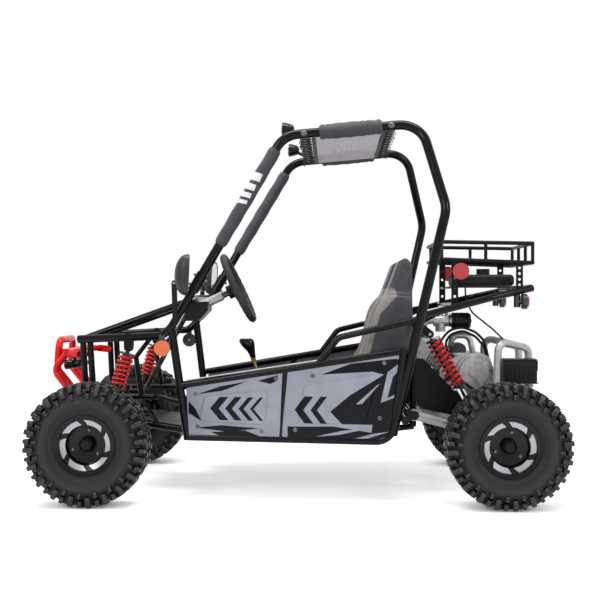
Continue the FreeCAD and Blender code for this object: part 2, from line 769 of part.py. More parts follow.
def rear_frame():
    pivot = at_side(swing_front, size.upright_half_width)
    pivot_cross = between(hoop_foot, elbow, size.swing_pivot_height + 2) - Vector(32, 0, 0)
    upright_top = at_side(seat_back, size.upright_half_width)
    bolt_end = swing_front + LEFT * (size.swing_tube / 2 + 12)
    gusset_spot = share_of(tail_root, tail_bend, 0.3)
    side = [
        tube([tail_root, tail_bend, tail], size.rail_tube, 90),
        rod(pivot - UP * 47, upright_top, size.rail_tube),
        rod(pivot, bolt_end, 14),
        lug(at_side(seat_back, gusset_spot.y), gusset_spot, 9, 5, LEFT),
    ]
    side += clevis(swing_front, at_side(pivot_cross, size.swing_half_width), 16, size.swing_tube + 2, LEFT)
    side += clevis(rear_damper_top, at_side(seat_back, size.rear_damper_side), 14, size.damper_eye_length, LEFT)
    crosses = [
        cross(seat_back, size.frame_tube),
        cross(pivot_cross, size.frame_tube),
        cross(pivot, size.rail_tube),
        cross(tail + Vector(8, 0, 0), size.rail_tube),
        cross(at_station(tail_root, tail_bend, size.support_front), size.light_tube),
        cross(at_station(tail_bend, tail, size.support_rear), size.light_tube),
    ]
    return fuse([part for shape in side for part in both(shape)] + crosses)


side_left = side_frame()
cage = without(roll_cage(), side_left, mirrored(side_left))
nose = without(nose_frame(), side_left, mirrored(side_left), cage)
floor = fuse(without(shape, side_left, mirrored(side_left), nose) for shape in floor_tubes())
rear = without(rear_frame(), side_left, mirrored(side_left), cage, floor)


# Wheels.


def regular_ring(radius, along, pitches):
    """A closed polygon round the Y axis."""
    step = 2 * math.pi / pitches
    corners = [
        Vector(radius * math.cos(step * i), along, radius * math.sin(step * i)) for i in range(pitches)
    ]
    return Part.makePolygon(corners + [corners[0]])


def carcass(width, facets):
    """The tyre under its lugs: a bulging section carried round a polygon."""
    crown = size.tyre_diameter / 2 - size.lug_height
    half = width / 2
    bead = size.bead_diameter / 2 + size.fabric_gap
    seat = half - size.flange_inset - size.rim_wall
    flange = bead + size.flange_height
    profile = [
        (seat, bead), (seat, flange), (half - 8, flange + 8), (half, (flange + crown) / 2),
        (half - 7, crown - 12), (half * 0.62, crown), (0, crown + 1),
    ]
    rings = profile + [(-along, radius) for along, radius in reversed(profile[:-1])]
    wires = [regular_ring(radius, along, facets) for along, radius in rings]
    faces = []
    for first, second in zip(wires, wires[1:] + wires[:1]):
        faces += Part.makeRuledSurface(first, second).Faces
    solid = Part.makeSolid(Part.makeShell(faces))
    if solid.Volume < 0:
        solid.reverse()
    return solid


def tyre(width):
    """A carcass with two rows of staggered lugs that wrap over its shoulders."""
    pitches = int(size.lug_pitches)
    facets = pitches * 2
    tip = size.tyre_diameter / 2
    crown = tip - size.lug_height
    half = width / 2
    reach = math.cos(math.pi / facets)
    block_outline = [
        (-half * 0.16, crown * reach - 3), (-half * 0.16, tip), (half * 0.78, tip),
        (half - 2, crown - 2), (half - 9, (crown - 16) * reach),
    ]
    corners = [Vector(radius, along, 0) for along, radius in block_outline]
    lug_width = math.pi * crown / pitches
    block_shape = Part.Face(Part.makePolygon(corners + corners[:1])).extrude(UP * lug_width)
    block_shape.translate(UP * (-lug_width / 2))
    step = 360 / pitches
    lugs = []
    for i in range(pitches):
        near = block_shape.copy()
        near.rotate(Vector(), LEFT, step * (i + 0.25))
        far = mirrored(block_shape)
        far.rotate(Vector(), LEFT, step * (i + 0.75))
        lugs += [near, far]
    return carcass(width, facets).multiFuse(lugs)


def rim(name, width):
    """A stepped steel rim turned in one piece with its dish."""
    half = width / 2 - size.flange_inset
    bead = size.bead_diameter / 2
    flange = bead + size.flange_height
    wall = size.rim_wall
    well = bead - size.well_depth
    ring = size.ring_diameter / 2
    dish = size.dish_diameter / 2
    bore = size.hub_diameter / 2 + size.running_gap
    return turned(name, [
        (half, flange), (half - wall, flange), (half - wall, bead), (half - 34, bead - 2),
        (half - 44, well), (-half + 44, well), (-half + 34, bead - 2), (-half + wall, bead),
        (-half + wall, flange), (-half, flange), (-half, bead - wall), (-half + 36, bead - wall - 2),
        (-half + 46, well - wall), (half - size.dish_depth + 4, well - wall), (half - size.dish_depth, dish),
        (half - size.dish_depth - 4, bore), (half - size.dish_depth + 1, bore), (half - size.dish_depth + 5, dish - 4),
        (half - 22, dish + 1), (half - 16, ring), (half - 6, ring + 2), (half - 3, bead - wall),
    ])


def hub(name, width, bore):
    """A flanged hub behind the rim's dish, with its closed cap through the dish."""
    half = width / 2 - size.flange_inset
    back = half - size.dish_depth - 4.3
    barrel = size.hub_diameter / 2
    cap = half - size.dish_depth + 30
    return turned(name, [
        (back, size.hub_flange / 2), (back - 8, size.hub_flange / 2), (back - 8, barrel + 4),
        (back - 40, barrel + 2), (back - 40, bore), (half - 42, bore), (half - 42, 0), (cap, 0),
        (cap, barrel - 7), (cap - 5, barrel - 2), (cap - 8, barrel), (back, barrel),
    ])


def placed(item, spot):
    """A wheel's piece at its place, turned round on the right side."""
    item.Placement = Placement(spot, Rotation(FORWARD, 180) if spot.y < 0 else Rotation())
    return item


WHEELS = [
    ("front", "left", Vector(FRONT_AXLE, size.front_track / 2, AXLE_HEIGHT)),
    ("front", "right", Vector(FRONT_AXLE, -size.front_track / 2, AXLE_HEIGHT)),
    ("rear", "left", Vector(REAR_AXLE, size.rear_track / 2, AXLE_HEIGHT)),
    ("rear", "right", Vector(REAR_AXLE, -size.rear_track / 2, AXLE_HEIGHT)),
]
WIDTHS = {"front": size.front_tyre_width, "rear": size.rear_tyre_width}
BORES = {"front": size.stub_diameter / 2 + size.running_gap, "rear": size.axle_diameter / 2}
tyre_shapes = {end: tyre(width) for end, width in WIDTHS.items()}
rear_rims = []
rear_hubs = []
for end, side, spot in WHEELS:
    item = doc.addObject("Part::Feature", f"tyre_{end}_{side}")
    item.Shape = tyre_shapes[end]
    keep(placed(item, spot), f"tyre_{end}_{side}")
    new_rim = placed(rim(f"rim_{end}_{side}", WIDTHS[end]), spot)
    new_hub = placed(hub(f"hub_{end}_{side}", WIDTHS[end], BORES[end]), spot)
    if end == "front":
        keep(new_rim, f"rim_{end}_{side}")
        keep(new_hub, f"hub_{end}_{side}")
    else:
        rear_rims.append(new_rim)
        rear_hubs.append(new_hub)
keep(gathered("rear_rims", rear_rims), "rear_rims")
keep(gathered("rear_hubs", rear_hubs), "rear_hubs")


# Front suspension, on the left.


def suspension_arm(pivots, outer, tube_diameter):
    """Two legs from a kingpin boss to their eyes, with the bolts of the eyes."""
    inner = outer - LEFT * 24
    shapes = [lug(outer, inner, 13, 20, UP)]
    for pivot in pivots:
        half = FORWARD * (size.arm_eye_length / 2)
        bolt = FORWARD * (size.arm_eye_length / 2 + size.plate_thickness + 5)
        shapes.append(rod(pivot - half, pivot + half, size.arm_eye))
        shapes.append(rod(pivot - bolt, pivot + bolt, 10))
        shapes.append(rod(pivot, inner, tube_diameter))
    return fuse(shapes)


def front_arms():
    low = size.knuckle_bottom - 12
    high = size.knuckle_top + 12
    lower = suspension_arm(LOWER_PIVOTS, lifted(kingpin, low), size.arm_tube)
    upper = suspension_arm(UPPER_PIVOTS, lifted(kingpin, high), size.arm_tube - 4)
    bolt = Part.makeCylinder(size.kingpin_diameter / 2, high - low, lifted(kingpin, low))
    leg_end = lifted(kingpin, low) - LEFT * 24
    share = (front_damper_foot.y - size.pivot_half_width) / (leg_end.y - size.pivot_half_width)
    root = share_of(LOWER_PIVOTS[1], leg_end, share)
    return fuse([lower, upper, bolt] + clevis(front_damper_foot, root, 12, size.damper_eye_length, LEFT))


def rod_eye():
    """Where a tie rod meets the knuckle's steering arm."""
    return Vector(FRONT_AXLE - size.steering_arm, kingpin.y - 14, size.tie_rod_height)


def knuckle():
    height = size.knuckle_top - size.knuckle_bottom
    barrel = Part.makeCylinder(size.knuckle_diameter / 2, height, lifted(kingpin, size.knuckle_bottom))
    inner = lifted(kingpin, AXLE_HEIGHT)
    stub_end = size.front_track / 2 + size.front_tyre_width / 2 - size.flange_inset - 44
    stub = rod(inner, at_side(inner, stub_end), size.stub_diameter)
    shoulder = rod(inner, inner + LEFT * 26, size.stub_diameter + 14)
    eye = rod_eye()
    arm = rod(lifted(kingpin, eye.z), eye, 14)
    boss = Part.makeCylinder(11, 10, eye - UP * 5)
    bore = Part.makeCylinder(size.kingpin_diameter / 2 + size.running_gap, height + 40,
                             lifted(kingpin, size.knuckle_bottom - 20))
    pin_hole = Part.makeCylinder(size.tie_rod_pin / 2 + size.running_gap, 40, eye - UP * 20)
    return fuse([barrel, shoulder, stub, arm, boss]).cut(bore).cut(pin_hole)


def tie_rod():
    outer = rod_eye() - UP * size.tie_rod_drop
    inner = pitman_eye - UP * size.tie_rod_drop
    eyes = [Part.makeCylinder(10, 8, eye - UP * 4) for eye in (outer, inner)]
    pin = Part.makeCylinder(size.tie_rod_pin / 2, size.tie_rod_drop + 2, outer)
    return fuse([rod(outer, inner, size.tie_rod_diameter), pin] + eyes)


rod_left = tie_rod()
knuckle_left = knuckle()
arms_left = front_arms()
nose = nose.cut(arms_left).cut(mirrored(arms_left))
for side, turn in (("left", lambda shape: shape), ("right", mirrored)):
    feature(f"knuckle_{side}", turn(knuckle_left))
    feature(f"tie_rod_{side}", turn(rod_left))
feature("front_arms", group(both(arms_left)))


# Dampers and springs.


def damper(name, top, foot, span, body_share):
    """An oil damper turned about its axis, with a seat for each end of its spring and an eye at each end."""
    length = (foot - top).Length
    body = size.damper_body / 2
    stem = size.damper_rod / 2
    seat = size.coil_diameter / 2
    first, second = span[0] * length, span[1] * length
    shaft = turned(name, [
        (0, 0), (0, stem), (first - 5, stem), (first - 5, seat), (first, seat), (first, body), (second, body),
        (second, seat), (second + 5, seat), (second + 5, body), (body_share * length, body),
        (body_share * length, stem), (length, stem), (length, 0),
    ])
    aimed(shaft, top, foot - top)
    half = size.damper_eye_length / 2
    eyes = [
        drum(f"{name}Eye{i}", size.damper_eye / 2, size.damper_eye_length, end - LEFT * half, LEFT)
        for i, end in enumerate((top, foot))
    ]
    return united(f"{name}Whole", [shaft] + eyes)


def spring(name, top, foot, span, turns):
    """A coil spring between a damper's two seats."""
    run = foot - top
    wire = size.coil_wire / 2
    start = share_of(top, foot, span[0]) + Vector(run).normalize() * (wire + size.fabric_gap)
    height = run.Length * (span[1] - span[0]) - 2 * (wire + size.fabric_gap)
    place = Placement(start, Rotation(UP, run))
    path = tie(doc.addObject("Part::Helix", f"{name}Path"), {
        "Pitch": height / turns, "Height": height, "Radius": size.coil_diameter / 2 - size.coil_wire / 2,
    })
    path.Placement = place
    section = tie(doc.addObject("Part::Circle", f"{name}Section"), {"Radius": size.coil_wire / 2})
    radius = (size.coil_diameter - size.coil_wire) / 2
    section.Placement = place * Placement(FORWARD * radius, Rotation(FORWARD, 90))
    coil = doc.addObject("Part::Sweep", name)
    coil.Sections = [section]
    coil.Spine = (path, ["Edge1"])
    coil.Solid = True
    coil.Frenet = True
    return coil


FRONT_SPAN = (0.08, 0.445)
REAR_SPAN = (0.075, 0.61)
front_damper = damper("front_damper", front_damper_top, front_damper_foot, FRONT_SPAN, 0.62)
rear_damper = damper("rear_damper", rear_damper_top, rear_damper_foot, REAR_SPAN, 0.76)
front_spring = spring("front_spring", front_damper_top, front_damper_foot, FRONT_SPAN, size.front_coil_turns)
rear_spring = spring("rear_spring", rear_damper_top, rear_damper_foot, REAR_SPAN, size.rear_coil_turns)
pair("dampers", gathered("left_dampers", [front_damper, rear_damper]))
pair("springs", gathered("left_springs", [front_spring, rear_spring]))


# Steering.


def steering_wheel():
    grip = size.grip_diameter / 2
    ring = Part.makeTorus(size.wheel_diameter / 2 - grip, grip, wheel_middle, column_axis)
    back = wheel_middle - column_axis * 40
    boss = Part.makeCylinder(24, 22, back, column_axis)
    disc = Part.makeCylinder(40, 4, back + column_axis * 18, column_axis)
    across = column_axis.cross(LEFT).normalize()
    spokes = []
    for angle in (90, 210, 330):
        way = Rotation(column_axis, angle).multVec(across)
        end = wheel_middle + way * (size.wheel_diameter / 2 - grip)
        start = back + column_axis * 20 + way * 22
        spokes.append(rod(start, end, 11))
    return fuse([ring, boss, disc] + spokes)


feature("steering_wheel", steering_wheel())
shaft_length = size.column_length - 40
keep(united("steering_shaft", [
    drum("steering_shaft_bar", size.column_diameter / 2, shaft_length, joint_middle, column_axis),
    ball("steering_shaft_joint", 14, joint_middle),
]), "steering_shaft")
feature("lower_steering_shaft", fuse([
    rod(pitman_foot - lower_axis * 27, joint_middle - lower_axis * 14.3, size.lower_shaft_diameter),
    rod(pitman_foot + lower_axis * 10, at_side(pitman_eye, 0) + UP * 12, 14),
]))

# The column's bearing tube hangs from the dash tube on two cheeks.
bearing_top = wheel_middle - column_axis * 62
bearing_foot = wheel_middle - column_axis * 172
bearing_bore = rod(bearing_top + column_axis * 20, bearing_foot - column_axis * 20,
                   size.column_diameter + 2 * size.running_gap)
bearing_spot = wheel_middle - column_axis * 158
cheeks = [
    lug(bearing_spot + LEFT * way, at_side(dash, size.wheel_side + way), 14, size.plate_thickness, LEFT)
    for way in (-12, 12)
]
column_bracket = fuse([rod(bearing_top, bearing_foot, size.column_tube)] + cheeks).cut(bearing_bore)
feature("column_bracket", without(column_bracket, nose))

# Dash box round the column.
DASH_BOX = [(317, 672), (396, 668), (396, 604), (350, 604), (317, 640)]
dash_box = plate([Vector(station, 128, height) for station, height in DASH_BOX], 124, LEFT, [6] * 5)
column_room = rod(wheel_middle, joint_middle - column_axis * 40, size.column_tube + 8)
shaft_room = rod(joint_middle, joint_middle - lower_axis * 60, size.column_tube + 8)
feature("dash_box", without(dash_box, column_room, shaft_room, nose, column_bracket))


# Rear axle with what turns on it.
axle_reach = size.rear_track / 2 + size.rear_tyre_width / 2 - size.flange_inset - 54
axle_middle = Vector(REAR_AXLE, 0, AXLE_HEIGHT)
axle = drum("rear_axle", size.axle_diameter / 2, axle_reach * 2, axle_middle - LEFT * axle_reach, LEFT)
keep(axle, "rear_axle")

brake_disc = turned("brake_disc", [
    (0, size.axle_diameter / 2), (0, size.disc_diameter / 2), (size.disc_thickness, size.disc_diameter / 2),
    (size.disc_thickness, 30), (24, 26), (24, size.axle_diameter / 2),
])
keep(put(brake_disc, axle_middle - LEFT * (size.disc_side + size.disc_thickness / 2)), "brake_disc")


def sprocket():
    """A toothed wheel and its boss: one gap is cut and repeated round the rim."""
    body = turned("sprocket", [
        (-12, size.axle_diameter / 2), (-12, 28), (-2.5, 30), (-2.5, size.sprocket_diameter / 2),
        (2.5, size.sprocket_diameter / 2), (2.5, size.axle_diameter / 2),
    ])
    plane = [f for f in body.Origin.OriginFeatures if f.Role == "XZ_Plane"][0]
    gap = body.newObject("Sketcher::SketchObject", "sprocketGap")
    gap.AttachmentSupport = [(plane, "")]
    gap.MapMode = "FlatFace"
    gap.addGeometry(Part.Circle(Vector(size.sprocket_diameter / 2, 0, 0), UP, 5), False)
    gap.addConstraint(Sketcher.Constraint("Radius", 0, 5))
    gap.addConstraint(Sketcher.Constraint("PointOnObject", 0, 3, -1))
    reach = gap.addConstraint(Sketcher.Constraint("DistanceX", -1, 1, 0, 3, size.sprocket_diameter / 2))
    gap.setExpression(f"Constraints[{reach}]", (size.sprocket_diameter / 2).text)
    pocket = body.newObject("PartDesign::Pocket", "sprocketTooth")
    pocket.Profile = gap
    pocket.Type = "ThroughAll"
    pocket.Midplane = True
    teeth = body.newObject("PartDesign::PolarPattern", "sprocketTeeth")
    teeth.Originals = [pocket]
    teeth.Axis = (gap, ["N_Axis"])
    teeth.Angle = 360
    teeth.setExpression("Occurrences", size.sprocket_teeth.text)
    body.Tip = teeth
    return body


keep(put(sprocket(), axle_middle + LEFT * size.chain_side), "sprocket")


# Swing arm with the engine's plates, the guard and the battery's tray.


def guard_side():
    side = size.guard_half_width
    root = Vector(REAR_AXLE, side, AXLE_HEIGHT)
    rear_side = size.guard_rear_half_width
    low = Vector(size.guard_rear, rear_side, 300)
    knee = share_of(root, at_side(low, side), 0.66)
    stay = share_of(root, knee, 0.5)
    hoop = tube([
        root + UP * 20, Vector(REAR_AXLE - 13, side, size.guard_height),
        Vector(size.guard_rear, rear_side, size.guard_height - 27), low, knee, stay,
    ], size.guard_tube, 30)
    return hoop.fuse(rod(stay, root, size.guard_tube - 1))


def engine_plate():
    """A plate from the swing arm's cross tubes to the crankcase's underside."""
    top = size.engine_height - size.case_drop + 3
    corners = [(-462, 250), (-562, 226), (-662, top - 10), (-662, top), (-524, top), (-500, top - 30)]
    spots = [Vector(station, 67, height) for station, height in corners]
    return plate(spots, 6, LEFT, [12, 12, 0, 0, 0, 20])


def caliper():
    spot = axle_middle + Vector(18, -size.disc_side, size.disc_diameter / 2 - 6)
    body = Part.makeBox(52, 42, 34, spot - Vector(26, 21, 17))
    slot = Part.makeCylinder(size.disc_diameter / 2 + 4, size.disc_thickness + 4,
                             axle_middle - LEFT * (size.disc_side + size.disc_thickness / 2 + 2), LEFT)
    arm = rod(spot - LEFT * 12, Vector(REAR_AXLE - 4, -size.guard_half_width, spot.z + 8), 14)
    return fuse([body, arm]).cut(slot)


def swing_arm():
    half_housing = LEFT * (size.housing_length / 2)
    half_eye = LEFT * (size.swing_tube / 2 + 1)
    side = [
        rod(swing_front, swing_rear, size.swing_tube),
        rod(swing_rear - half_housing, swing_rear + half_housing, size.housing_diameter),
        rod(swing_front - half_eye, swing_front + half_eye, size.swing_tube + 4),
        guard_side(),
        engine_plate(),
    ]
    leg_spot = at_station(swing_front, swing_rear, rear_damper_foot.x)
    side += clevis(rear_damper_foot, at_side(leg_spot, rear_damper_foot.y), 12, size.damper_eye_length, LEFT)
    tray_height = size.battery_floor - size.tray_bar / 2
    tray_front = Vector(REAR_AXLE - 45, size.guard_half_width - 2, tray_height)
    side.append(rod(Vector(REAR_AXLE - 8, size.guard_half_width, tray_height), tray_front, size.tray_bar))
    crosses = [
        cross(share_of(swing_front, swing_rear, 0.22), 30),
        cross(share_of(swing_front, swing_rear, 0.5), 30),
        cross(tray_front, size.tray_bar),
        cross(Vector(size.guard_rear + 4, size.guard_half_width, tray_height), size.tray_bar),
        caliper(),
    ]
    ends = LEFT * (size.housing_length + size.swing_half_width)
    bore = rod(axle_middle - ends, axle_middle + ends, size.axle_diameter + 2 * size.running_gap)
    return fuse([part for shape in side for part in both(shape)] + crosses).cut(bore)


# Frame nodes, after what they hold has been let in.
feature("side_frame_left", side_left)
feature("side_frame_right", mirrored(side_left))
feature("roll_cage", cage)
feature("nose_frame", nose)
feature("floor_frame", floor)
feature("rear_frame", rear)


# Panels between the rails of the side frames.

PANEL_OFFSET = 8
PANEL_THICKNESS = 3
FIELD_HEIGHT = 4


def panel_outward():
    """The direction that the side frame's plane faces."""
    along = (rear_corner - post_foot).normalize()
    rise = Vector(0, size.side_lean, 1).normalize()
    return rise.cross(along).normalize()


def panel(corners, radii, field_corners):
    """A panel with a raised field that has sloping sides."""
    outward = panel_outward()
    if outward.y < 0:
        outward = outward * -1
    base = [side_point(*corner) + outward * PANEL_OFFSET for corner in corners]
    shape = plate(base, PANEL_THICKNESS, outward, radii)
    middle = Vector()
    foot = [side_point(*corner) + outward * (PANEL_OFFSET + PANEL_THICKNESS - 0.5) for corner in field_corners]
    for spot in foot:
        middle += spot * (1 / len(foot))
    top = [spot + (middle - spot).normalize() * 9 + outward * (FIELD_HEIGHT + 0.5) for spot in foot]
    field = Part.makeLoft([Part.makePolygon(foot + foot[:1]), Part.makePolygon(top + top[:1])], True, True)
    return shape.fuse(field)


front_panel = panel(
    [(376, 212), (62, 212), (44, 440), (384, 376)], [0, 6, 6, 0],
    [(340, 262), (110, 254), (98, 372), (322, 350)],
)
rear_panel = panel(
    [(54, 212), (-311, 212), (-366, 504), (36, 442)], [14, size.corner_bend - 2, 10, 6],
    [(0, 262), (-228, 262), (-272, 430), (-20, 392)],
)
panels_left = [without(shape, side_left, cage) for shape in (front_panel, rear_panel)]
feature("side_panels", group(panels_left + [mirrored(shape) for shape in panels_left]))

# Floor pan.
pan_height = size.rail_height + size.rail_tube / 2 + 0.1
pan_side = [at_station(post_foot, rear_corner, station) - LEFT * (size.frame_tube / 2 + 0.5) for station in (368, -250)]
pan_side = [lifted(point, pan_height) for point in pan_side]
floor_plate = plate(pan_side + [on_right(point) for point in reversed(pan_side)], size.pan_thickness, UP)
toe_way = (front_cross - nose_floor).normalize()
toe_normal = LEFT.cross(toe_way)
toe_side = [
    at_side(at_station(nose_floor, front_cross, station), size.nose_floor_half_width + 8)
    + toe_normal * (size.rail_tube / 2 + 0.1) for station in (size.toe_plate_front, size.post_station + 21)
]
toe_plate = plate(toe_side + [on_right(point) for point in reversed(toe_side)], size.pan_thickness, toe_normal)
feature("floor_pan", group([floor_plate, without(toe_plate, nose)]))


# Bumper.


def bumper():
    front = size.bumper_front_station
    half = size.bumper_half_width
    knee = size.bumper_knee_height
    leg = [
        Vector(front - 6, half, size.bumper_top_height), Vector(front + 2, half, knee),
        Vector(front - 75, half, knee - 95), at_side(nose_floor, half),
    ]
    hoop = tube([on_right(point) for point in reversed(leg)] + leg, size.bumper_tube, 30)
    bar_end = Vector(size.bumper_bar_station, size.horn_half_width + 22, size.bumper_bar_height)
    horn_top = bar_end - LEFT * 16
    horn = [
        horn_top, Vector(front, size.horn_half_width, knee), Vector(front - 75, size.horn_half_width, knee - 95),
        at_side(nose_floor, size.horn_half_width),
    ]
    stay_end = Vector(nose_tip.x - 12, nose_tip.y - 4, size.bumper_bar_height - 6)
    tab_end = Vector(front - 3, half, size.bumper_bar_height)
    stay = [
        rod(horn_top, share_of(horn_top, stay_end, 0.6), 22),
        lug(share_of(horn_top, stay_end, 0.5), stay_end, 13, 5, LEFT),
        rod(share_of(horn_top, stay_end, 0.5), share_of(horn_top, stay_end, 0.75), 20),
        lug(at_side(bar_end, half), tab_end, 9, 6, LEFT),
    ]
    side = [tube(horn, size.bumper_tube - 2, 34)] + stay
    return fuse([hoop, cross(bar_end, size.bumper_tube)] + [part for shape in side for part in both(shape)])


bumper_shape = without(bumper(), nose)
feature("bumper", bumper_shape)


# Seats: closed solids of a bucket seat's size.

SEAT_FRONT = [(22, 240), (44, 296), (-150, 318), (-212, 372), (-248, 540), (-300, 690), (-346, 812)]
SEAT_BACK = [(-372, 826), (-392, 800), (-392, 560), (-372, 400), (-322, 222.5), (0, 222.5)]
BOLSTER_FRONT = [(22, 244), (40, 312), (-120, 352), (-176, 420), (-222, 490), (-262, 640), (-318, 700)]
BOLSTER_BACK = [(-388, 690), (-392, 560), (-372, 400), (-322, 222.5), (0, 222.5)]


def seat_slab(front, back, start, width):
    """A slab of the seat: a smooth front from the cushion to the top, and a straight-sided back."""
    curve = Part.BSplineCurve()
    curve.interpolate([Vector(station, start, height) for station, height in front[1:]])
    rest = [Vector(station, start, height) for station, height in [front[-1]] + back + front[:2]]
    edges = [curve.toShape()]
    for first, second in zip(rest, rest[1:]):
        edges.append(Part.LineSegment(first, second).toShape())
    return Part.Face(Part.Wire(edges)).extrude(LEFT * width)


def seat():
    inner = size.seat_side - size.seat_width / 2
    outer = size.seat_side + size.seat_width / 2 - size.bolster_width
    bolsters = [seat_slab(BOLSTER_FRONT, BOLSTER_BACK, start, size.bolster_width) for start in (inner, outer)]
    middle = seat_slab(SEAT_FRONT, SEAT_BACK, inner + size.bolster_width, size.seat_width - 2 * size.bolster_width)
    return fuse([middle] + bolsters)


seat_left = without(seat(), rear, cage)
feature("seat_left", seat_left)
feature("seat_right", mirrored(seat_left))


# Engine group.
crank = Vector(size.engine_station, 0, size.engine_height)
cylinder_way = Vector(math.cos(math.radians(size.cylinder_slope)), 0, math.sin(math.radians(size.cylinder_slope)))
cylinder_side = cylinder_way.cross(LEFT)


def slab_across(start, thickness, width):
    """A square plate across the cylinder's axis."""
    half = width / 2
    middle = crank + cylinder_way * start
    spots = [middle + LEFT * (half * side) + cylinder_side * (half * rise)
             for side, rise in ((-1, -1), (1, -1), (1, 1), (-1, 1))]
    return plate(spots, thickness, cylinder_way, [width / 8] * 4)


def engine():
    """Crankcase, finned cylinder and head, with the covers, the starter and a breather pipe."""
    half = size.case_half_width
    bottom = size.engine_height - size.case_drop
    top = bottom + size.case_height
    back = size.engine_station - 90
    front = back + size.case_length + 5
    middle = size.engine_height
    corners = [
        (back + 10, bottom), (back, middle), (back + 16, top - 11), (back + 60, top + 3), (front - 55, top - 13),
        (front, middle + 3), (front, bottom),
    ]
    spots = [Vector(station, -half, height) for station, height in corners]
    case = plate(spots, 2 * half, LEFT, [18, 30, 30, 30, 30, 18, 18])
    cover_spot = Vector(size.engine_station - 16, half - 1, size.engine_height - 7)
    radius = size.cover_diameter / 2
    cover = Part.makeCylinder(radius, 13, cover_spot, LEFT)
    cover_step = Part.makeCone(radius - 7, radius - 10, 8, cover_spot + LEFT * 13, LEFT)
    cap = Part.makeCylinder(18, 26, cover_spot, LEFT)
    barrel = Part.makeCylinder(size.cylinder_diameter / 2, 150, crank, cylinder_way)
    first_fin = 150 - size.fin_count * size.fin_pitch
    fins = [
        slab_across(first_fin + i * size.fin_pitch, size.fin_thickness, size.fin_width)
        for i in range(int(size.fin_count))
    ]
    head = slab_across(150, 44, size.fin_width - 6)
    head_cover = slab_across(193, 10, size.fin_width - 26)
    starter_spot = Vector(size.engine_station + 35, 18, top + 11)
    starter = Part.makeCylinder(size.starter_diameter / 2, 70, starter_spot, LEFT)
    starter_end = Part.makeCylinder(size.starter_diameter / 2 - 6, 80, starter_spot, LEFT)
    breather = tube([
        Vector(front - 40, 0, top - 20), Vector(front - 57, 0, top + 60), Vector(back + 78, 0, top + 60),
        Vector(back + 60, 0, top - 20),
    ], size.breather_diameter, 28)
    output = Vector(size.output_station, half - 1, size.output_height)
    shaft_cover = Part.makeCylinder(30, 16, output, LEFT)
    shaft = Part.makeCylinder(10, size.chain_side - half + 8, output, LEFT)
    drive = Part.makeCylinder(size.drive_diameter / 2, size.disc_thickness,
                              at_side(output, size.chain_side - size.disc_thickness / 2), LEFT)
    other_cover = Part.makeCylinder(56, 24, crank - LEFT * (half + 22), LEFT)
    pieces = [case, cover, cover_step, cap, barrel, head, head_cover, starter, starter_end, breather, shaft_cover,
              shaft, drive, other_cover]
    return fuse(pieces + fins)


engine_shape = engine()
swing = without(swing_arm(), rear, floor, engine_shape)
feature("engine", engine_shape)
feature("swing_arm", swing)


def chain_outline(gap):
    """The closed line round both sprockets at a distance from their teeth."""
    big = Vector(REAR_AXLE, 0, AXLE_HEIGHT)
    small = Vector(size.output_station, 0, size.output_height)
    big_radius = size.sprocket_diameter / 2 + gap
    small_radius = size.drive_diameter / 2 + gap
    run = small - big
    lean = math.acos((big_radius - small_radius) / run.Length)
    way = math.atan2(run.z, run.x)
    upper = Vector(math.cos(way + lean), 0, math.sin(way + lean))
    lower = Vector(math.cos(way - lean), 0, math.sin(way - lean))
    back = Vector(run).normalize()
    return Part.Wire([
        Part.LineSegment(big + upper * big_radius, small + upper * small_radius).toShape(),
        Part.Arc(small + upper * small_radius, small + back * small_radius, small + lower * small_radius).toShape(),
        Part.LineSegment(small + lower * small_radius, big + lower * big_radius).toShape(),
        Part.Arc(big + lower * big_radius, big - back * big_radius, big + upper * big_radius).toShape(),
    ])


outer_loop = Part.Face(chain_outline(0.5 + size.chain_height)).extrude(LEFT * 10)
inner_loop = Part.Face(chain_outline(0.5)).extrude(LEFT * 10)
chain = outer_loop.cut(inner_loop)
chain.translate(LEFT * (size.chain_side - 5))
feature("drive_chain", without(chain, engine_shape))


def carburettor():
    front = Vector(-489, size.intake_side, size.intake_height)
    head_top = crank + cylinder_way * 168 + cylinder_side * (size.fin_width / 2 - 6)
    bend = front + Vector(44, 0, 2)
    manifold = tube([at_side(head_top, size.intake_side), bend, front], 25, 21)
    body = Part.makeCylinder(21, 55, front - FORWARD * 55, FORWARD)
    bowl = Part.makeCylinder(19, 40, front - Vector(26, 0, 40))
    top = Part.makeCylinder(14, 32, front - Vector(22, 0, 0))
    knob = Part.makeCylinder(6, 28, front + Vector(-47, 12, 4), UP)
    return fuse([manifold, body, bowl, top, knob])


feature("carburettor", without(carburettor(), engine_shape))

air_filter = turned("air_filter", [
    (0, 0), (0, size.filter_diameter / 2 - 9), (10, size.filter_diameter / 2 - 9), (12, size.filter_diameter / 2),
    (size.filter_length - 12, size.filter_diameter / 2), (size.filter_length - 4, size.filter_diameter / 2 - 5),
    (size.filter_length - 4, 8), (size.filter_length, 6), (size.filter_length, 0),
])
aimed(air_filter, Vector(-544, size.intake_side, size.intake_height), -FORWARD)
keep(air_filter, "air_filter")


def exhaust():
    muffler_front = Vector(-520, -128, 402)
    port = crank + cylinder_way * 172 - cylinder_side * (size.fin_width / 2 - 4)
    pipe = tube([port, port - UP * 46, muffler_front + FORWARD * 50, muffler_front - FORWARD * 6], 26, 24)
    can = Part.makeCylinder(size.muffler_diameter / 2, size.muffler_length, muffler_front, -FORWARD)
    tail_pipe = rod(muffler_front - FORWARD * (size.muffler_length - 4),
                    muffler_front - FORWARD * (size.muffler_length + 14), 18)
    return fuse([pipe, can, tail_pipe])


feature("exhaust", without(exhaust(), engine_shape, swing))

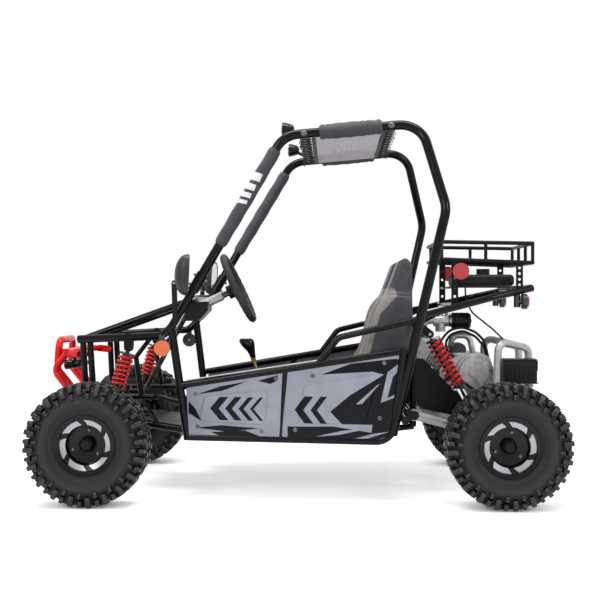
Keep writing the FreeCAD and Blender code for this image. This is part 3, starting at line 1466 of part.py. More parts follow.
# Splash plates between the seats and the rear wheels.
SPLASH = [(-408, 470), (-440, 469), (-490, 416), (-536, 370), (-588, 328), (-550, 268), (-440, 289), (-408, 320)]
splash_side = size.upright_half_width + size.rail_tube / 2 - 1
splash_spots = [Vector(station, splash_side, height) for station, height in SPLASH]
splash = plate(splash_spots, size.pan_thickness, LEFT, [0, 8, 8, 8, 12, 12, 8, 0])
feature("mudguards", group(both(without(splash, rear, swing, engine_shape))))

# Battery box in the guard, with its lid's rim.
battery_corner = Vector(size.battery_station, size.battery_side, size.battery_floor)
lid_corner = battery_corner + UP * (size.battery_height - size.battery_lid)
keep(united("battery_box", [
    block("battery_case", size.battery_length, size.battery_width, size.battery_height, battery_corner),
    block("battery_rim", size.battery_length + 4, size.battery_width + 4, size.battery_lid - 6,
          lid_corner - Vector(2, 2, 0)),
]), "battery_box")

# Fuel tank under the rack.
tank = padded("tank_body", "XY_Plane", [
    (size.tank_station, -size.tank_width / 2), (size.tank_station + size.tank_length, -size.tank_width / 2),
    (size.tank_station + size.tank_length, size.tank_width / 2), (size.tank_station, size.tank_width / 2),
], size.tank_height)
rounded(tank, size.tank_round, lambda edge: edge.Length > 40 or abs(edge.tangentAt(edge.FirstParameter).z) > 0.9)
put(tank, Vector(0, 0, size.tray_height))
cap_spot = Vector(size.tank_station + size.tank_length / 2, size.tank_width / 4, size.tray_height + size.tank_height - 1)
keep(united("fuel_tank", [tank, drum("tank_cap", 24, 22, cap_spot, UP)]), "fuel_tank")


# Rack with its supports and the straps below the tank.


def perforated(start, end, width, thickness, normal, holes):
    """A flat bar with a row of holes."""
    run = end - start
    side = Vector(normal).cross(run).normalize() * (width / 2)
    bar = plate([start - side, end - side, end + side, start + side], thickness, normal)
    for i in range(holes):
        spot = share_of(start, end, (i + 1) / (holes + 1))
        bar = bar.cut(Part.makeCylinder(width / 5, 3 * thickness, spot - Vector(normal) * thickness, normal))
    return bar


def rack():
    half = size.rack_half_width
    shapes = []
    for height, fall in ((size.rack_floor_height, 6.5), (size.rack_top_height, 3)):
        corners = [
            Vector(size.rack_front, half, height + fall), Vector(size.rack_rear, half, height - fall),
            Vector(size.rack_rear, -half, height - fall), Vector(size.rack_front, -half, height + fall),
        ]
        shapes += [rod(first, second, size.rack_tube) for first, second in zip(corners, corners[1:] + corners[:1])]
        shapes += [Part.makeSphere(size.rack_tube / 2, corner) for corner in corners]
    floor_front = Vector(size.rack_front, 0, size.rack_floor_height + 6.5)
    floor_rear = Vector(size.rack_rear, 0, size.rack_floor_height - 6.5)
    top_front = Vector(size.rack_front, 0, size.rack_top_height + 3)
    top_rear = Vector(size.rack_rear, 0, size.rack_top_height - 3)
    for share in (0.03, 0.5, 1):
        for side in (-half, half):
            foot = at_side(share_of(floor_front, floor_rear, share), side)
            shapes.append(rod(foot, at_side(share_of(top_front, top_rear, share), side), size.rack_tube - 2))
    for side in (-half / 3, half / 3):
        shapes.append(rod(at_side(floor_rear, side), at_side(top_rear, side), size.rack_tube - 2))
    for i in range(1, int(size.rack_bars)):
        side = -half + 2 * half * i / size.rack_bars
        shapes.append(rod(at_side(floor_front, side), at_side(floor_rear, side), size.rack_tube - 4))
    for station, rail in ((size.support_front, (tail_root, tail_bend)), (size.support_rear, (tail_bend, tail))):
        top = at_station(floor_front, floor_rear, station)
        foot = at_station(*rail, station)
        shapes += both(perforated(at_side(foot, half), at_side(top, half), size.support_width,
                                  size.plate_thickness, LEFT, 4))
        strap = Part.makeBox(size.support_width, 2 * half, size.plate_thickness,
                             Vector(station - size.support_width / 2, -half, size.tray_height
                                    - 2 * size.plate_thickness))
        shapes.append(strap)
    length = size.support_front - size.support_rear + size.support_width
    tray = Part.makeBox(length, 30, size.plate_thickness,
                        Vector(size.support_rear - size.support_width / 2, 85, size.tray_height - size.plate_thickness))
    return fuse(shapes + both(tray))


rack_shape = without(rack(), rear)
feature("rack", rack_shape)


# Hoses over the engine, the tank's vent and the throttle cable along the left sill.

FEED_HOSE = [(-520, 70, 430), (-503, 76, 520), (-540, 84, 568), (-587, 86, 579), (-635, 86, 561), (-668, 80, 528),
             (-684, 72, 460)]
RETURN_HOSE = [(-545, 62, 450), (-527, 68, 520), (-545, 74, 552), (-590, 76, 566), (-636, 76, 544), (-668, 70, 508),
               (-682, 60, 450)]
VENT_HOSE = [(-600, 60, 725.7), (-602, 62, 684), (-622, 72, 632), (-694, 112, 571), (-735, 152, 526)]


def throttle_cable():
    """A cable that lies on the inner top of the sill, from the post to the rear."""
    seat = (size.rail_tube + size.cable_diameter) / 2 + 0.2
    offset = Vector(0, -0.6, 0.8) * seat
    ends = [at_station(sill_front, sill_rear, station) + offset for station in (size.post_station + 2, -70)]
    return rod(*ends, size.cable_diameter)


hose_shapes = [
    without(tube([Vector(*spot) for spot in spots], diameter, bend), engine_shape, swing)
    for spots, diameter, bend in (
        (FEED_HOSE, size.hose_diameter, 60), (RETURN_HOSE, size.hose_diameter, 40), (VENT_HOSE, size.cable_diameter, 60),
    )
]
feature("hoses", group(hose_shapes + [without(throttle_cable(), side_left, cage)]))


# Lamps and reflectors.


def lamp(name, diameter, depth, face, direction, rear_share):
    """A round lamp: a flat lens in a bezel, with a dome behind it."""
    radius = diameter / 2
    body = turned(name, [
        (0, 0), (0, radius - 3), (-2, radius), (-9, radius), (-depth * 0.55, radius * 0.86),
        (-depth * 0.85, radius * rear_share), (-depth, radius * rear_share * 0.6), (-depth, 0),
    ])
    return aimed(body, face, direction)


roof_lamp_face = Vector(size.roof_lamp_station, size.roof_lamp_side, size.roof_lamp_height)
roof_lamp_root = at_side(at_station(roof_front, roof_rear, size.roof_front_cross), size.roof_lamp_side)
spot_face = Vector(size.spot_station, size.spot_side, size.spot_height)
spot_stem_foot = Vector(size.bumper_bar_station, size.spot_side, size.spot_height + 6)
lamp_items = [
    lamp("roof_lamp", size.lamp_diameter, size.lamp_depth, roof_lamp_face, FORWARD, 0.7),
    lamp("nose_lamp", size.spot_diameter, size.spot_depth, spot_face, FORWARD, 0.62),
]
stems = [
    rod(roof_lamp_root, roof_lamp_face + Vector(-30, 0, -6), 12),
    rod(spot_stem_foot, lifted(spot_stem_foot, size.bumper_bar_height), 12),
]
stem_feature = doc.addObject("Part::Feature", "lamp_stems")
stem_feature.Shape = group([without(stem, cage, bumper_shape) for stem in stems])
pair("spot_lamps", united("spot_lamps_left", lamp_items + [stem_feature]))

amber_spot = Vector(463, 340, 513)
tab_corners = [(453, 505), (473, 505), (473, 561), (453, 561)]
amber_tab = plate([Vector(station, 338, height) for station, height in tab_corners], 3, LEFT)
tab_feature = doc.addObject("Part::Feature", "front_reflector_tab")
tab_feature.Shape = without(amber_tab, nose, side_left, cage)
pair("front_reflectors", united("front_reflector_left", [
    drum("front_reflector_disc", size.reflector_diameter / 2, size.reflector_thickness, amber_spot, LEFT), tab_feature,
]))
red_spot = Vector(-566, size.rack_half_width + size.plate_thickness, 778)
red_disc = drum("rear_reflector", size.rear_reflector_diameter / 2, size.reflector_thickness, red_spot, LEFT)
pair("rear_reflectors", red_disc)

tail_lamp_spot = Vector(-770, 246, 672)
tail_lamp = turned("tail_lamp", [
    (0, 0), (0, size.tail_lamp_diameter / 2 - 4), (4, size.tail_lamp_diameter / 2),
    (size.tail_lamp_depth - 7, size.tail_lamp_diameter / 2), (size.tail_lamp_depth, size.tail_lamp_diameter / 2 - 7),
    (size.tail_lamp_depth, 0),
])
aimed(tail_lamp, tail_lamp_spot, -FORWARD)
tail_stem = fuse([
    rod(tail_lamp_spot + FORWARD * 14 - UP * 20, Vector(tail_lamp_spot.x + 14, tail_lamp_spot.y, 712), 22),
    rod(tail_lamp_spot + FORWARD * 14, tail_lamp_spot - FORWARD * 2, 20),
])
stem_item = doc.addObject("Part::Feature", "tail_lamp_stem")
stem_item.Shape = without(tail_stem, rear)
pair("tail_lamps", united("tail_lamp_left", [tail_lamp, stem_item]))


# Mirrors on flat arms from the cage's stubs.


def mirror():
    """A shell lofted from the glass back to the middle of its dome."""
    middle = Vector(size.mirror_station, size.mirror_side, size.mirror_middle_height)
    back = Vector(1, 0, 0.07).normalize()
    height, width, depth = size.mirror_height / 2, size.mirror_width / 2, size.mirror_depth
    rings = []
    for share, shrink in ((0, 0.97), (0.1, 1), (0.45, 0.86), (0.8, 0.56), (1, 0.2)):
        tall = height * shrink
        wide = width * shrink
        oval = Part.Ellipse()
        oval.MajorRadius = tall
        oval.MinorRadius = wide
        edge = oval.toShape()
        edge.Placement = Placement(middle + back * (depth * share), Rotation(UP, back))
        rings.append(Part.Wire(edge))
    return Part.makeLoft(rings, True, False)


mirror_shell = mirror()
arm_top = Vector(414, 392, 735)
arm_foot = between(post_head, sleeve, 612)
arm_run = arm_foot + LEFT * 16 - arm_top
arm_facing = LEFT - arm_run * (arm_run.y / arm_run.dot(arm_run))
mirror_arm = fuse([
    lug(arm_top, arm_foot + LEFT * 16, 9, 6, arm_facing),
    rod(arm_foot, arm_foot + LEFT * 20, 20),
    rod(arm_top - LEFT * 4, Vector(392, 394, 742), 14),
])
feature("mirrors", group(both(without(fuse([mirror_shell, mirror_arm]), side_left, nose, cage))))


# Pads and canopy of the cage.


def sleeve_pad(start, end, diameter):
    """A foam pad round a cage tube."""
    inner = rod(start, end, size.cage_tube + 2 * size.fabric_gap)
    return rod(start, end, diameter).cut(inner)


pillar_pad = sleeve_pad(
    between(sleeve, roof_front, 866), between(sleeve, roof_front, 1186), size.pillar_pad_diameter)
roof_pad = sleeve_pad(
    at_station(roof_front, roof_rear, -74), at_station(roof_front, roof_rear, -284), size.roof_pad_diameter)
feature("cage_pads", group(both(pillar_pad) + both(roof_pad)))


def canopy():
    """A fabric sheet below the roof, held by cords to the cross tubes."""
    half = size.canopy_half_width
    drop = UP * size.canopy_drop
    front = at_station(roof_front, roof_rear, -52) - drop
    back = at_station(roof_front, roof_rear, -292) - drop
    corners = [at_side(front, half), at_side(back, half), at_side(back, -half), at_side(front, -half)]
    sheet_shape = plate(corners, size.canopy_thickness, UP)
    cords = []
    for end, cross_station in ((front, size.roof_front_cross), (back, size.roof_rear_cross)):
        tube_spot = at_station(roof_front, roof_rear, cross_station)
        for i in range(5):
            side = -half + 20 + (2 * half - 40) * i / 4
            inside = share_of(end, at_station(front, back, -172), 0.08)
            cords.append(rod(at_side(inside, side) + UP * 2, at_side(tube_spot, side), 5))
    return fuse([sheet_shape] + cords)


feature("canopy", without(canopy(), cage))


# Controls in the cabin.


def pedal(side):
    """A pedal on a sleeve round the front cross tube."""
    foot = Vector(size.post_station, side, size.rail_height)
    half = LEFT * 13
    barrel = rod(foot - half, foot + half, size.rail_tube + 10)
    knee = foot + Vector(24, 0, 70)
    top = foot + Vector(8, 0, 128)
    pad = Part.makeBox(7, 52, 70, Vector(-3.5, -26, -35))
    pad = pad.makeFillet(3, pad.Edges)
    pad.Placement = Placement(top, Rotation(LEFT, -14))
    return fuse([barrel, tube([foot, knee, top], 12, 18), pad])


feature("pedals", group([without(pedal(side), floor) for side in (112, 250)]))


def gear_lever():
    """A knob that leans forward on a bent rod."""
    rings = []
    for station, height, long, wide in ((174, 446, 8, 8), (178, 460, 10, 9), (188, 490, 17, 13), (200, 516, 27, 17),
                                        (203, 527, 26, 16), (204, 533, 15, 10)):
        oval = Part.Ellipse()
        oval.MajorRadius = long
        oval.MinorRadius = wide
        edge = oval.toShape()
        edge.Placement = Placement(Vector(station, 0, height), Rotation())
        rings.append(Part.Wire(edge))
    knob = Part.makeLoft(rings, True, False)
    foot = Vector(98, 0, pan_height + size.pan_thickness + 0.1)
    base = Part.makeBox(80, 50, 12, foot - Vector(40, 25, 0))
    return fuse([knob, rod(foot + UP * 5, Vector(175, 0, 450), 10), base])


feature("gear_lever", gear_lever())

doc.recompute()
broken = [item.Name for item in doc.Objects if "Invalid" in item.State or "Error" in item.State]
if broken:
    raise RuntimeError(f"objects that failed: {broken}")
for item in PARTS:
    if item.Shape.isNull() or not item.Shape.isValid():
        raise RuntimeError(f"{item.Label} has no valid shape")
os.makedirs("parts", exist_ok=True)
for item in PARTS:
    item.Shape.exportStep(f"parts/{item.Label}.step")
    print(item.Label, len(item.Shape.Solids), round(item.Shape.Volume))
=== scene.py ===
"""Looks of a small off-road buggy: finishes, tyres, upholstery, fabric and small fasteners.

Metres, in the model's own frame: X points forward, Y to the driver's left and Z up from the ground.
"""

import math
import random

import bmesh
import bpy
from mathutils import Matrix, Vector


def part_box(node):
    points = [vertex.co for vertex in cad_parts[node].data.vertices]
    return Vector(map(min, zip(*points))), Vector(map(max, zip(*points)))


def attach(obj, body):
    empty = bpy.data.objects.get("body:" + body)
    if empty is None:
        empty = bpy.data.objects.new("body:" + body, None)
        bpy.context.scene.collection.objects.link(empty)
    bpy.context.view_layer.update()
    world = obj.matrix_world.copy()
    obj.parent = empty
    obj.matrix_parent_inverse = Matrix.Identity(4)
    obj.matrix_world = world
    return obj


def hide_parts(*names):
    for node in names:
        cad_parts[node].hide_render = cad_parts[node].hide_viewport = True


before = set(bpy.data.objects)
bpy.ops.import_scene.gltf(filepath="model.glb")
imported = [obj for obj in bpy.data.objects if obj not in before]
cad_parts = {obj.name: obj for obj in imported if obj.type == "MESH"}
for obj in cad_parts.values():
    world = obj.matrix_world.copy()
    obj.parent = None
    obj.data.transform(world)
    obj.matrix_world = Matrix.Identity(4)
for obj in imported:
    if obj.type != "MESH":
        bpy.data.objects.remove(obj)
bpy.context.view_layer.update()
chance = random.Random(7)

MM = 0.001
LEFT = Vector((0, 1, 0))
UP = Vector((0, 0, 1))
FORWARD = Vector((1, 0, 0))
SIDES = {1: "left", -1: "right"}

# Lines of the frame, on the driver's side.
POST_HEAD = Vector((0.433, 0.330, 0.585))
ROOF_FRONT = Vector((0.046, 0.366, 1.232))
ROOF_REAR = Vector((-0.413, 0.366, 1.272))
FRONT_CROSS = -0.022
REAR_CROSS = -0.315
CAGE_RADIUS = 0.016
AXLE_HEIGHT = 0.203
FRONT_AXLE = 0.690


# Small helpers for points.


def share_of(start, end, share):
    return start + (end - start) * share


def at_station(start, end, station):
    return share_of(start, end, (station - start.x) / (end.x - start.x))


def at_height(start, end, height):
    return share_of(start, end, (height - start.z) / (end.z - start.z))


def on_side(point, side):
    """The same point on the left (1) or the right (-1)."""
    return Vector((point.x, point.y * side, point.z))


def along_axis(start, direction):
    """The frame whose Z runs along a direction from a point."""
    return Matrix.Translation(start) @ Vector(direction).to_track_quat("Z", "Y").to_matrix().to_4x4()


def about_axis(place, radius, angle, along=0.0):
    """A point at a radius and an angle about a frame's Z."""
    return place @ Vector((radius * math.cos(angle), radius * math.sin(angle), along))


# Nodes of the materials. Each works in the node tree that its first value is in.


def colour(code):
    """An sRGB hex colour as linear light."""
    parts = [int(code[i:i + 2], 16) / 255 for i in (1, 3, 5)]
    return [p / 12.92 if p <= 0.04045 else ((p + 0.055) / 1.055) ** 2.4 for p in parts] + [1]


def add(tree, kind, sockets=None, **settings):
    """Add a node with its settings, and its sockets' values or links."""
    made = tree.nodes.new("ShaderNode" + kind)
    for name, value in settings.items():
        setattr(made, name, value)
    for name, value in (sockets or {}).items():
        if isinstance(value, bpy.types.NodeSocket):
            tree.links.new(value, made.inputs[name])
        else:
            made.inputs[name].default_value = value
    return made


def place_in(material):
    """Where a point is on the piece, in metres."""
    return add(material.node_tree, "TexCoord").outputs["Object"]


def new_material(name, roughness, metallic=0.0, **sockets):
    """A material, its shader with plain values on its own sockets, and where a point is on the piece."""
    material = bpy.data.materials.new(name)
    material.use_nodes = True
    shader = material.node_tree.nodes["Principled BSDF"]
    for socket, value in dict(sockets, Roughness=roughness, Metallic=metallic).items():
        shader.inputs[socket.replace("_", " ")].default_value = value
    return material, shader, place_in(material)


def linked(value, shader, name):
    shader.id_data.links.new(value, shader.inputs[name])


def parts_of(where):
    return add(where.id_data, "SeparateXYZ", {0: where}).outputs


def noise(where, grain):
    """Noise whose features are about one grain across."""
    return add(where.id_data, "TexNoise", {"Vector": where, "Scale": 1 / grain, "Detail": 3.0}).outputs["Fac"]


def blended(share, first, second):
    """A colour between two hex colours or sockets."""
    first, second = (colour(value) if isinstance(value, str) else value for value in (first, second))
    return add(share.id_data, "Mix", {0: share, 6: first, 7: second}, data_type="RGBA").outputs[2]


def ranged(value, low, high, start=0.3, end=0.7):
    """Spread a value between two limits."""
    return add(value.id_data, "MapRange", {"Value": value, "From Min": start, "From Max": end,
                                           "To Min": low, "To Max": high}).outputs["Result"]


def calculated(operation, first, *others):
    """Work one value out of several, one after another."""
    for other in others or (0.0,):
        first = add(first.id_data, "Math", {0: first, 1: other}, operation=operation).outputs[0]
    return first


def times(*values):
    return calculated("MULTIPLY", *values)


def plus(*values):
    return calculated("ADD", *values)


def length_of(across, along):
    return calculated("SQRT", plus(times(across, across), times(along, along)))


def between(value, least, most):
    """A mask that is 1 between two limits."""
    return times(calculated("GREATER_THAN", value, least), calculated("LESS_THAN", value, most))


def within_box(where, low, high):
    """A mask that is 1 inside a box."""
    return times(*[between(part, least, most) for part, least, most in zip(parts_of(where), low, high)])


def within(where, corners):
    """A mask that is 1 inside a convex outline, given as (station, height) corners in order."""
    parts = parts_of(where)
    sides = list(zip(corners, corners[1:] + corners[:1]))
    if sum(x0 * z1 - x1 * z0 for (x0, z0), (x1, z1) in sides) < 0:
        sides = [(end, start) for start, end in sides]
    edges = []
    for (x0, z0), (x1, z1) in sides:
        offset = plus(times(parts["X"], z1 - z0), times(parts["Z"], x0 - x1))
        edges.append(calculated("LESS_THAN", offset, x0 * (z1 - z0) + z0 * (x0 - x1)))
    return times(*edges)


def within_any(where, shapes):
    return calculated("MAXIMUM", *[within(where, corners) for corners in shapes])


def outward_of(material):
    """How far a point lies to either side of the buggy's middle."""
    return calculated("ABSOLUTE", parts_of(place_in(material))["Y"])


def wheel_offsets(where, middle):
    """The distance from a wheel's axle line, and the offsets forward and up that give it."""
    parts = parts_of(add(where.id_data, "VectorMath", {0: where, 1: middle}, operation="SUBTRACT").outputs[0])
    return length_of(parts["X"], parts["Z"]), parts["X"], parts["Z"]


def bumped(shader, height, depth):
    """Relief of a real depth."""
    relief = add(shader.id_data, "Bump", {"Height": height, "Distance": depth, "Strength": 1.0})
    linked(relief.outputs["Normal"], shader, "Normal")


# Materials: two close colours each, uneven gloss and relief. Grains and depths are in millimetres.


def speckled(name, dark, light, grain, depth, roughness, metallic=0.0, spread=0.08, **sockets):
    """A finish with two close colours, uneven gloss and a fine relief."""
    material, shader, where = new_material(name, roughness, metallic, **sockets)
    cloud = noise(where, grain * MM * 12)
    fine = noise(where, grain * MM)
    linked(blended(ranged(cloud, 0, 1), dark, light), shader, "Base Color")
    linked(ranged(cloud, roughness - spread, roughness + spread), shader, "Roughness")
    bumped(shader, fine, depth * MM)
    return material


def prismatic(name, dark, light, prism=3.2, roughness=0.16, coat=0.4, metallic=0.0):
    """Moulded lens: a clear face over a grid of fine prisms that glitter, each prism painted pale at its
    middle and darker at its edges as a painted glint.
    """
    material, shader, where = new_material(name, roughness, metallic, Coat_Weight=coat)
    cells = add(where.id_data, "TexVoronoi", {"Vector": where, "Scale": 1 / (prism * MM)}, feature="F1")
    # Pale at each prism's middle, darker at its edges: a painted glint.
    linked(blended(cells.outputs["Distance"], light, dark), shader, "Base Color")
    bumped(shader, cells.outputs["Distance"], 0.5 * MM)
    return material


def woven(name, dark, light, thread, depth, roughness, **sockets):
    """Plain weave of threads that cross at right angles, drawn coarse enough to show."""
    material, shader, where = new_material(name, roughness, **sockets)
    threads = {"Vector": where, "Scale": 0.314 / (thread * MM), "Distortion": 0.6, "Detail": 1.0}
    waves = [add(where.id_data, "TexWave", threads, wave_type="BANDS", bands_direction=way) for way in "XZ"]
    weave = times(*[wave.outputs["Fac"] for wave in waves])
    share = times(ranged(noise(where, 40 * MM), 0.5, 1), weave)
    linked(blended(share, dark, light), shader, "Base Color")
    bumped(shader, weave, depth * MM)
    return material


def part_painted(material, mask, code, roughness, metallic):
    """Give the masked part of a finish its own colour and gloss."""
    shader = material.node_tree.nodes["Principled BSDF"]
    base = shader.inputs["Base Color"]
    linked(blended(mask, base.links[0].from_socket, code), shader, "Base Color")
    for name, value in (("Roughness", roughness), ("Metallic", metallic)):
        socket = shader.inputs[name]
        before = socket.links[0].from_socket if socket.links else socket.default_value
        linked(add(material.node_tree, "Mix", {0: mask, 2: before, 3: value}).outputs[0], shader, name)
    return material


def box_painted(material, low, high, *paint):
    """Give the part of a finish inside a box its own colour and gloss."""
    return part_painted(material, within_box(place_in(material), low, high), *paint)


def cast_metal(name):
    """Cast aluminium or zinc: pale grey, dull, with a sandy grain."""
    return speckled(name, "#A9A8A8", "#CCCBCA", 1.2, 0.12, 0.42, 0.6)


def polished_black(name):
    """Polished black plastic: deep black with sharp reflections."""
    return speckled(name, "#08080A", "#0F0F12", 4, 0.01, 0.18, spread=0.04, Specular_IOR_Level=0.25)


def black_rubber(name):
    """Black rubber: soft, with dull highlights."""
    return speckled(name, "#09090A", "#121213", 1.5, 0.08, 0.5, Specular_IOR_Level=0.25)


def charcoal_nylon(name):
    """Charcoal nylon over foam: a dense weave with a soft bloom at grazing light."""
    return woven(name, "#2A2A30", "#45444C", 1.4, 0.12, 0.75, Sheen_Weight=0.2)


def wall_rubber(name, middle):
    """Rubber of a tyre's wall: warm dark grey, with a painted highlight in a paler ring below the lugs, and
    painted shade that makes it nearly black between them.
    """
    material, shader, where = new_material(name, 0.45, Specular_IOR_Level=0.22)
    radius = wheel_offsets(where, middle)[0]
    cloud = noise(where, 35 * MM)
    wall = blended(ranged(cloud, 0, 1), "#141315", "#1C1A1D")
    # A paler ring below the lugs stands in for light falling on the wall: a painted highlight.
    painted_highlight_ring = times(ranged(radius, 0, 1, 0.118, 0.140), ranged(radius, 1, 0, 0.146, 0.156))
    wall = blended(painted_highlight_ring, wall, "#2B292C")
    # Nearly black where the wall lies between the lugs: painted shade.
    linked(blended(ranged(radius, 0, 1, 0.152, 0.164), wall, "#040404"), shader, "Base Color")
    linked(ranged(cloud, 0.44, 0.6), shader, "Roughness")
    bumped(shader, noise(where, 1.4 * MM), 0.15 * MM)
    return material


def wheel_paint(name, middle):
    """Gloss black wheel enamel with six bright machined segments, slanted, in a ring round its face."""
    segments, slant = 6, 9.0
    ring = (0.0665, 0.0835)
    material, shader, where = new_material(name, 0.16, Specular_IOR_Level=0.22)
    radius, ahead, up = wheel_offsets(where, middle)
    angle = calculated("ARCTAN2", up, ahead)
    turned = calculated("FRACT", plus(times(angle, segments / math.tau), times(radius, slant)))
    bright = times(between(turned, 0.2, 0.93), between(radius, *ring))
    linked(blended(bright, "#030303", "#9D9EA3"), shader, "Base Color")
    linked(times(bright, 0.75), shader, "Metallic")
    linked(ranged(bright, 0.2, 0.34, 0, 1), shader, "Roughness")
    bumped(shader, noise(where, 3 * MM), 0.03 * MM)
    return material


def chevron(point, height, reach, thickness, lean):
    """The two slanted halves of an arrowhead that points forward."""
    return [[(point, height), (point - thickness, height), (point - thickness - lean, height + sign * reach),
             (point - lean, height + sign * reach)] for sign in (1, -1)]


# Dark shapes of the panels' film: long shards, each convex, and arrowheads that point forward.
DARK_SHAPES = [
    [(0.376, 0.330), (0.376, 0.290), (0.330, 0.262), (0.352, 0.306)],
    [(0.350, 0.354), (0.262, 0.384), (0.170, 0.402), (0.258, 0.368)],
    [(0.352, 0.240), (0.262, 0.250), (0.128, 0.242), (0.238, 0.228)],
    [(0.300, 0.226), (0.180, 0.234), (0.120, 0.212), (0.260, 0.212)],
    [(0.136, 0.404), (0.066, 0.424), (0.070, 0.404), (0.092, 0.394)],
    [(-0.110, 0.304), (-0.176, 0.360), (-0.262, 0.262), (-0.150, 0.262)],
    [(-0.176, 0.360), (-0.300, 0.438), (-0.262, 0.262)],
    [(-0.080, 0.428), (-0.180, 0.466), (-0.326, 0.484), (-0.250, 0.440)],
    [(-0.250, 0.440), (-0.326, 0.484), (-0.350, 0.478), (-0.290, 0.430)],
    [(-0.318, 0.424), (-0.356, 0.462), (-0.340, 0.374), (-0.300, 0.352)],
    [(-0.262, 0.330), (-0.338, 0.360), (-0.316, 0.226), (-0.246, 0.226)],
    [(0.034, 0.250), (-0.120, 0.254), (-0.300, 0.228), (0.034, 0.212)],
    [(0.034, 0.252), (-0.300, 0.228), (-0.296, 0.212), (0.034, 0.212)],
]
for point, reach, thickness in ((0.300, 0.040, 0.030), (0.248, 0.040, 0.024), (0.202, 0.040, 0.018),
                                (0.162, 0.040, 0.012), (0.010, 0.046, 0.030), (-0.044, 0.046, 0.022)):
    DARK_SHAPES += chevron(point, 0.308, reach, thickness, 0.034)
# Silver shards that cut through the dark ones.
PALE_SHAPES = [
    [(-0.060, 0.218), (-0.150, 0.240), (-0.250, 0.252), (-0.140, 0.226)],
    [(-0.190, 0.214), (-0.252, 0.232), (-0.306, 0.240), (-0.236, 0.216)],
    [(-0.196, 0.330), (-0.262, 0.392), (-0.276, 0.400), (-0.216, 0.332)],
]
# White bars on the pillar pads, slanted across the tube and growing upwards.
PAD_BARS = [
    [(0.214, 1.010), (0.172, 1.000), (0.168, 1.012), (0.206, 1.022)],
    [(0.200, 1.032), (0.160, 1.020), (0.154, 1.036), (0.192, 1.048)],
    [(0.186, 1.058), (0.146, 1.044), (0.138, 1.064), (0.176, 1.078)],
    [(0.170, 1.090), (0.128, 1.074), (0.116, 1.100), (0.158, 1.116)],
]
PAD_PRINT_INSIDE = 0.362
REFLECTOR_BACK = 0.3418


def panel_film():
    """Printed film on moulded plastic: silver grey with near-black shards and a satin varnish."""
    material, shader, where = new_material("printed_panel_film", 0.36, metallic=0.1, Specular_IOR_Level=0.15)
    dark = calculated("SUBTRACT", within_any(where, DARK_SHAPES), within_any(where, PALE_SHAPES))
    pale = blended(ranged(noise(where, 60 * MM), 0, 1), "#8A8D98", "#979AA5")
    linked(blended(ranged(dark, 0, 1, 0.4, 0.6), pale, "#0A0B10"), shader, "Base Color")
    bumped(shader, noise(where, 2.5 * MM), 0.03 * MM)
    return material


def pad_print():
    """Charcoal nylon with white bars printed across its outer side."""
    material = charcoal_nylon("printed_nylon")
    mask = times(within_any(place_in(material), PAD_BARS),
                 calculated("GREATER_THAN", outward_of(material), PAD_PRINT_INSIDE))
    return part_painted(material, mask, "#D9DADC", 0.6, 0.0)


def front_reflector_faces():
    """Amber reflectors on the outer side of black plates."""
    material = prismatic("amber_reflector", "#C9501A", "#E97C3C")
    back = calculated("LESS_THAN", outward_of(material), REFLECTOR_BACK)
    return part_painted(material, back, "#0B0B0C", 0.35, 0.0)


def seat_cover():
    """Charcoal vinyl, semi-matt, with pores and fine creases and a taupe band along each bolster."""
    material, shader, where = new_material("charcoal_vinyl", 0.5, Coat_Weight=0.08)
    pores = add(where.id_data, "TexVoronoi", {"Vector": where, "Scale": 1 / (2.2 * MM)},
                feature="DISTANCE_TO_EDGE").outputs["Distance"]
    creases = noise(where, 22 * MM)
    band = add(where.id_data, "Attribute", attribute_name="band").outputs["Fac"]
    vinyl = blended(ranged(creases, 0, 1), "#242429", "#34343B")
    linked(blended(ranged(band, 0, 1, 0.42, 0.58), vinyl, "#7D7875"), shader, "Base Color")
    linked(ranged(creases, 0.42, 0.58), shader, "Roughness")
    bumped(shader, plus(calculated("MINIMUM", pores, 0.12), times(creases, 0.25)), 0.8 * MM)
    return material


def mirror_glass():
    """Silvered glass: a clean, slightly cool reflection."""
    material, shader, where = new_material("silvered_glass", 0.04, metallic=1.0)
    linked(blended(noise(where, 50 * MM), "#C9CDD1", "#D6D9DC"), shader, "Base Color")
    return material


def damper_finish():
    """Black enamelled damper whose lower rod, and rear upper eye, are hard chrome."""
    front_rod, rear_rod = (0.216, 0.320), (0.276, 0.367)
    rear_eye = 0.543
    material, shader, where = new_material("damper_enamel_and_chrome", 0.25)
    parts = parts_of(where)
    rear = calculated("LESS_THAN", parts["X"], 0.0)
    low, high = (plus(times(rear, at_rear - at_front), at_front)
                 for at_front, at_rear in zip(front_rod, rear_rod))
    eye = times(rear, calculated("GREATER_THAN", parts["Z"], rear_eye))
    bare = calculated("MAXIMUM", between(parts["Z"], low, high), eye)
    linked(blended(bare, "#0C0C0E", "#C9CBCE"), shader, "Base Color")
    linked(bare, shader, "Metallic")
    linked(ranged(bare, 0.28, 0.1, 0, 1), shader, "Roughness")
    return material


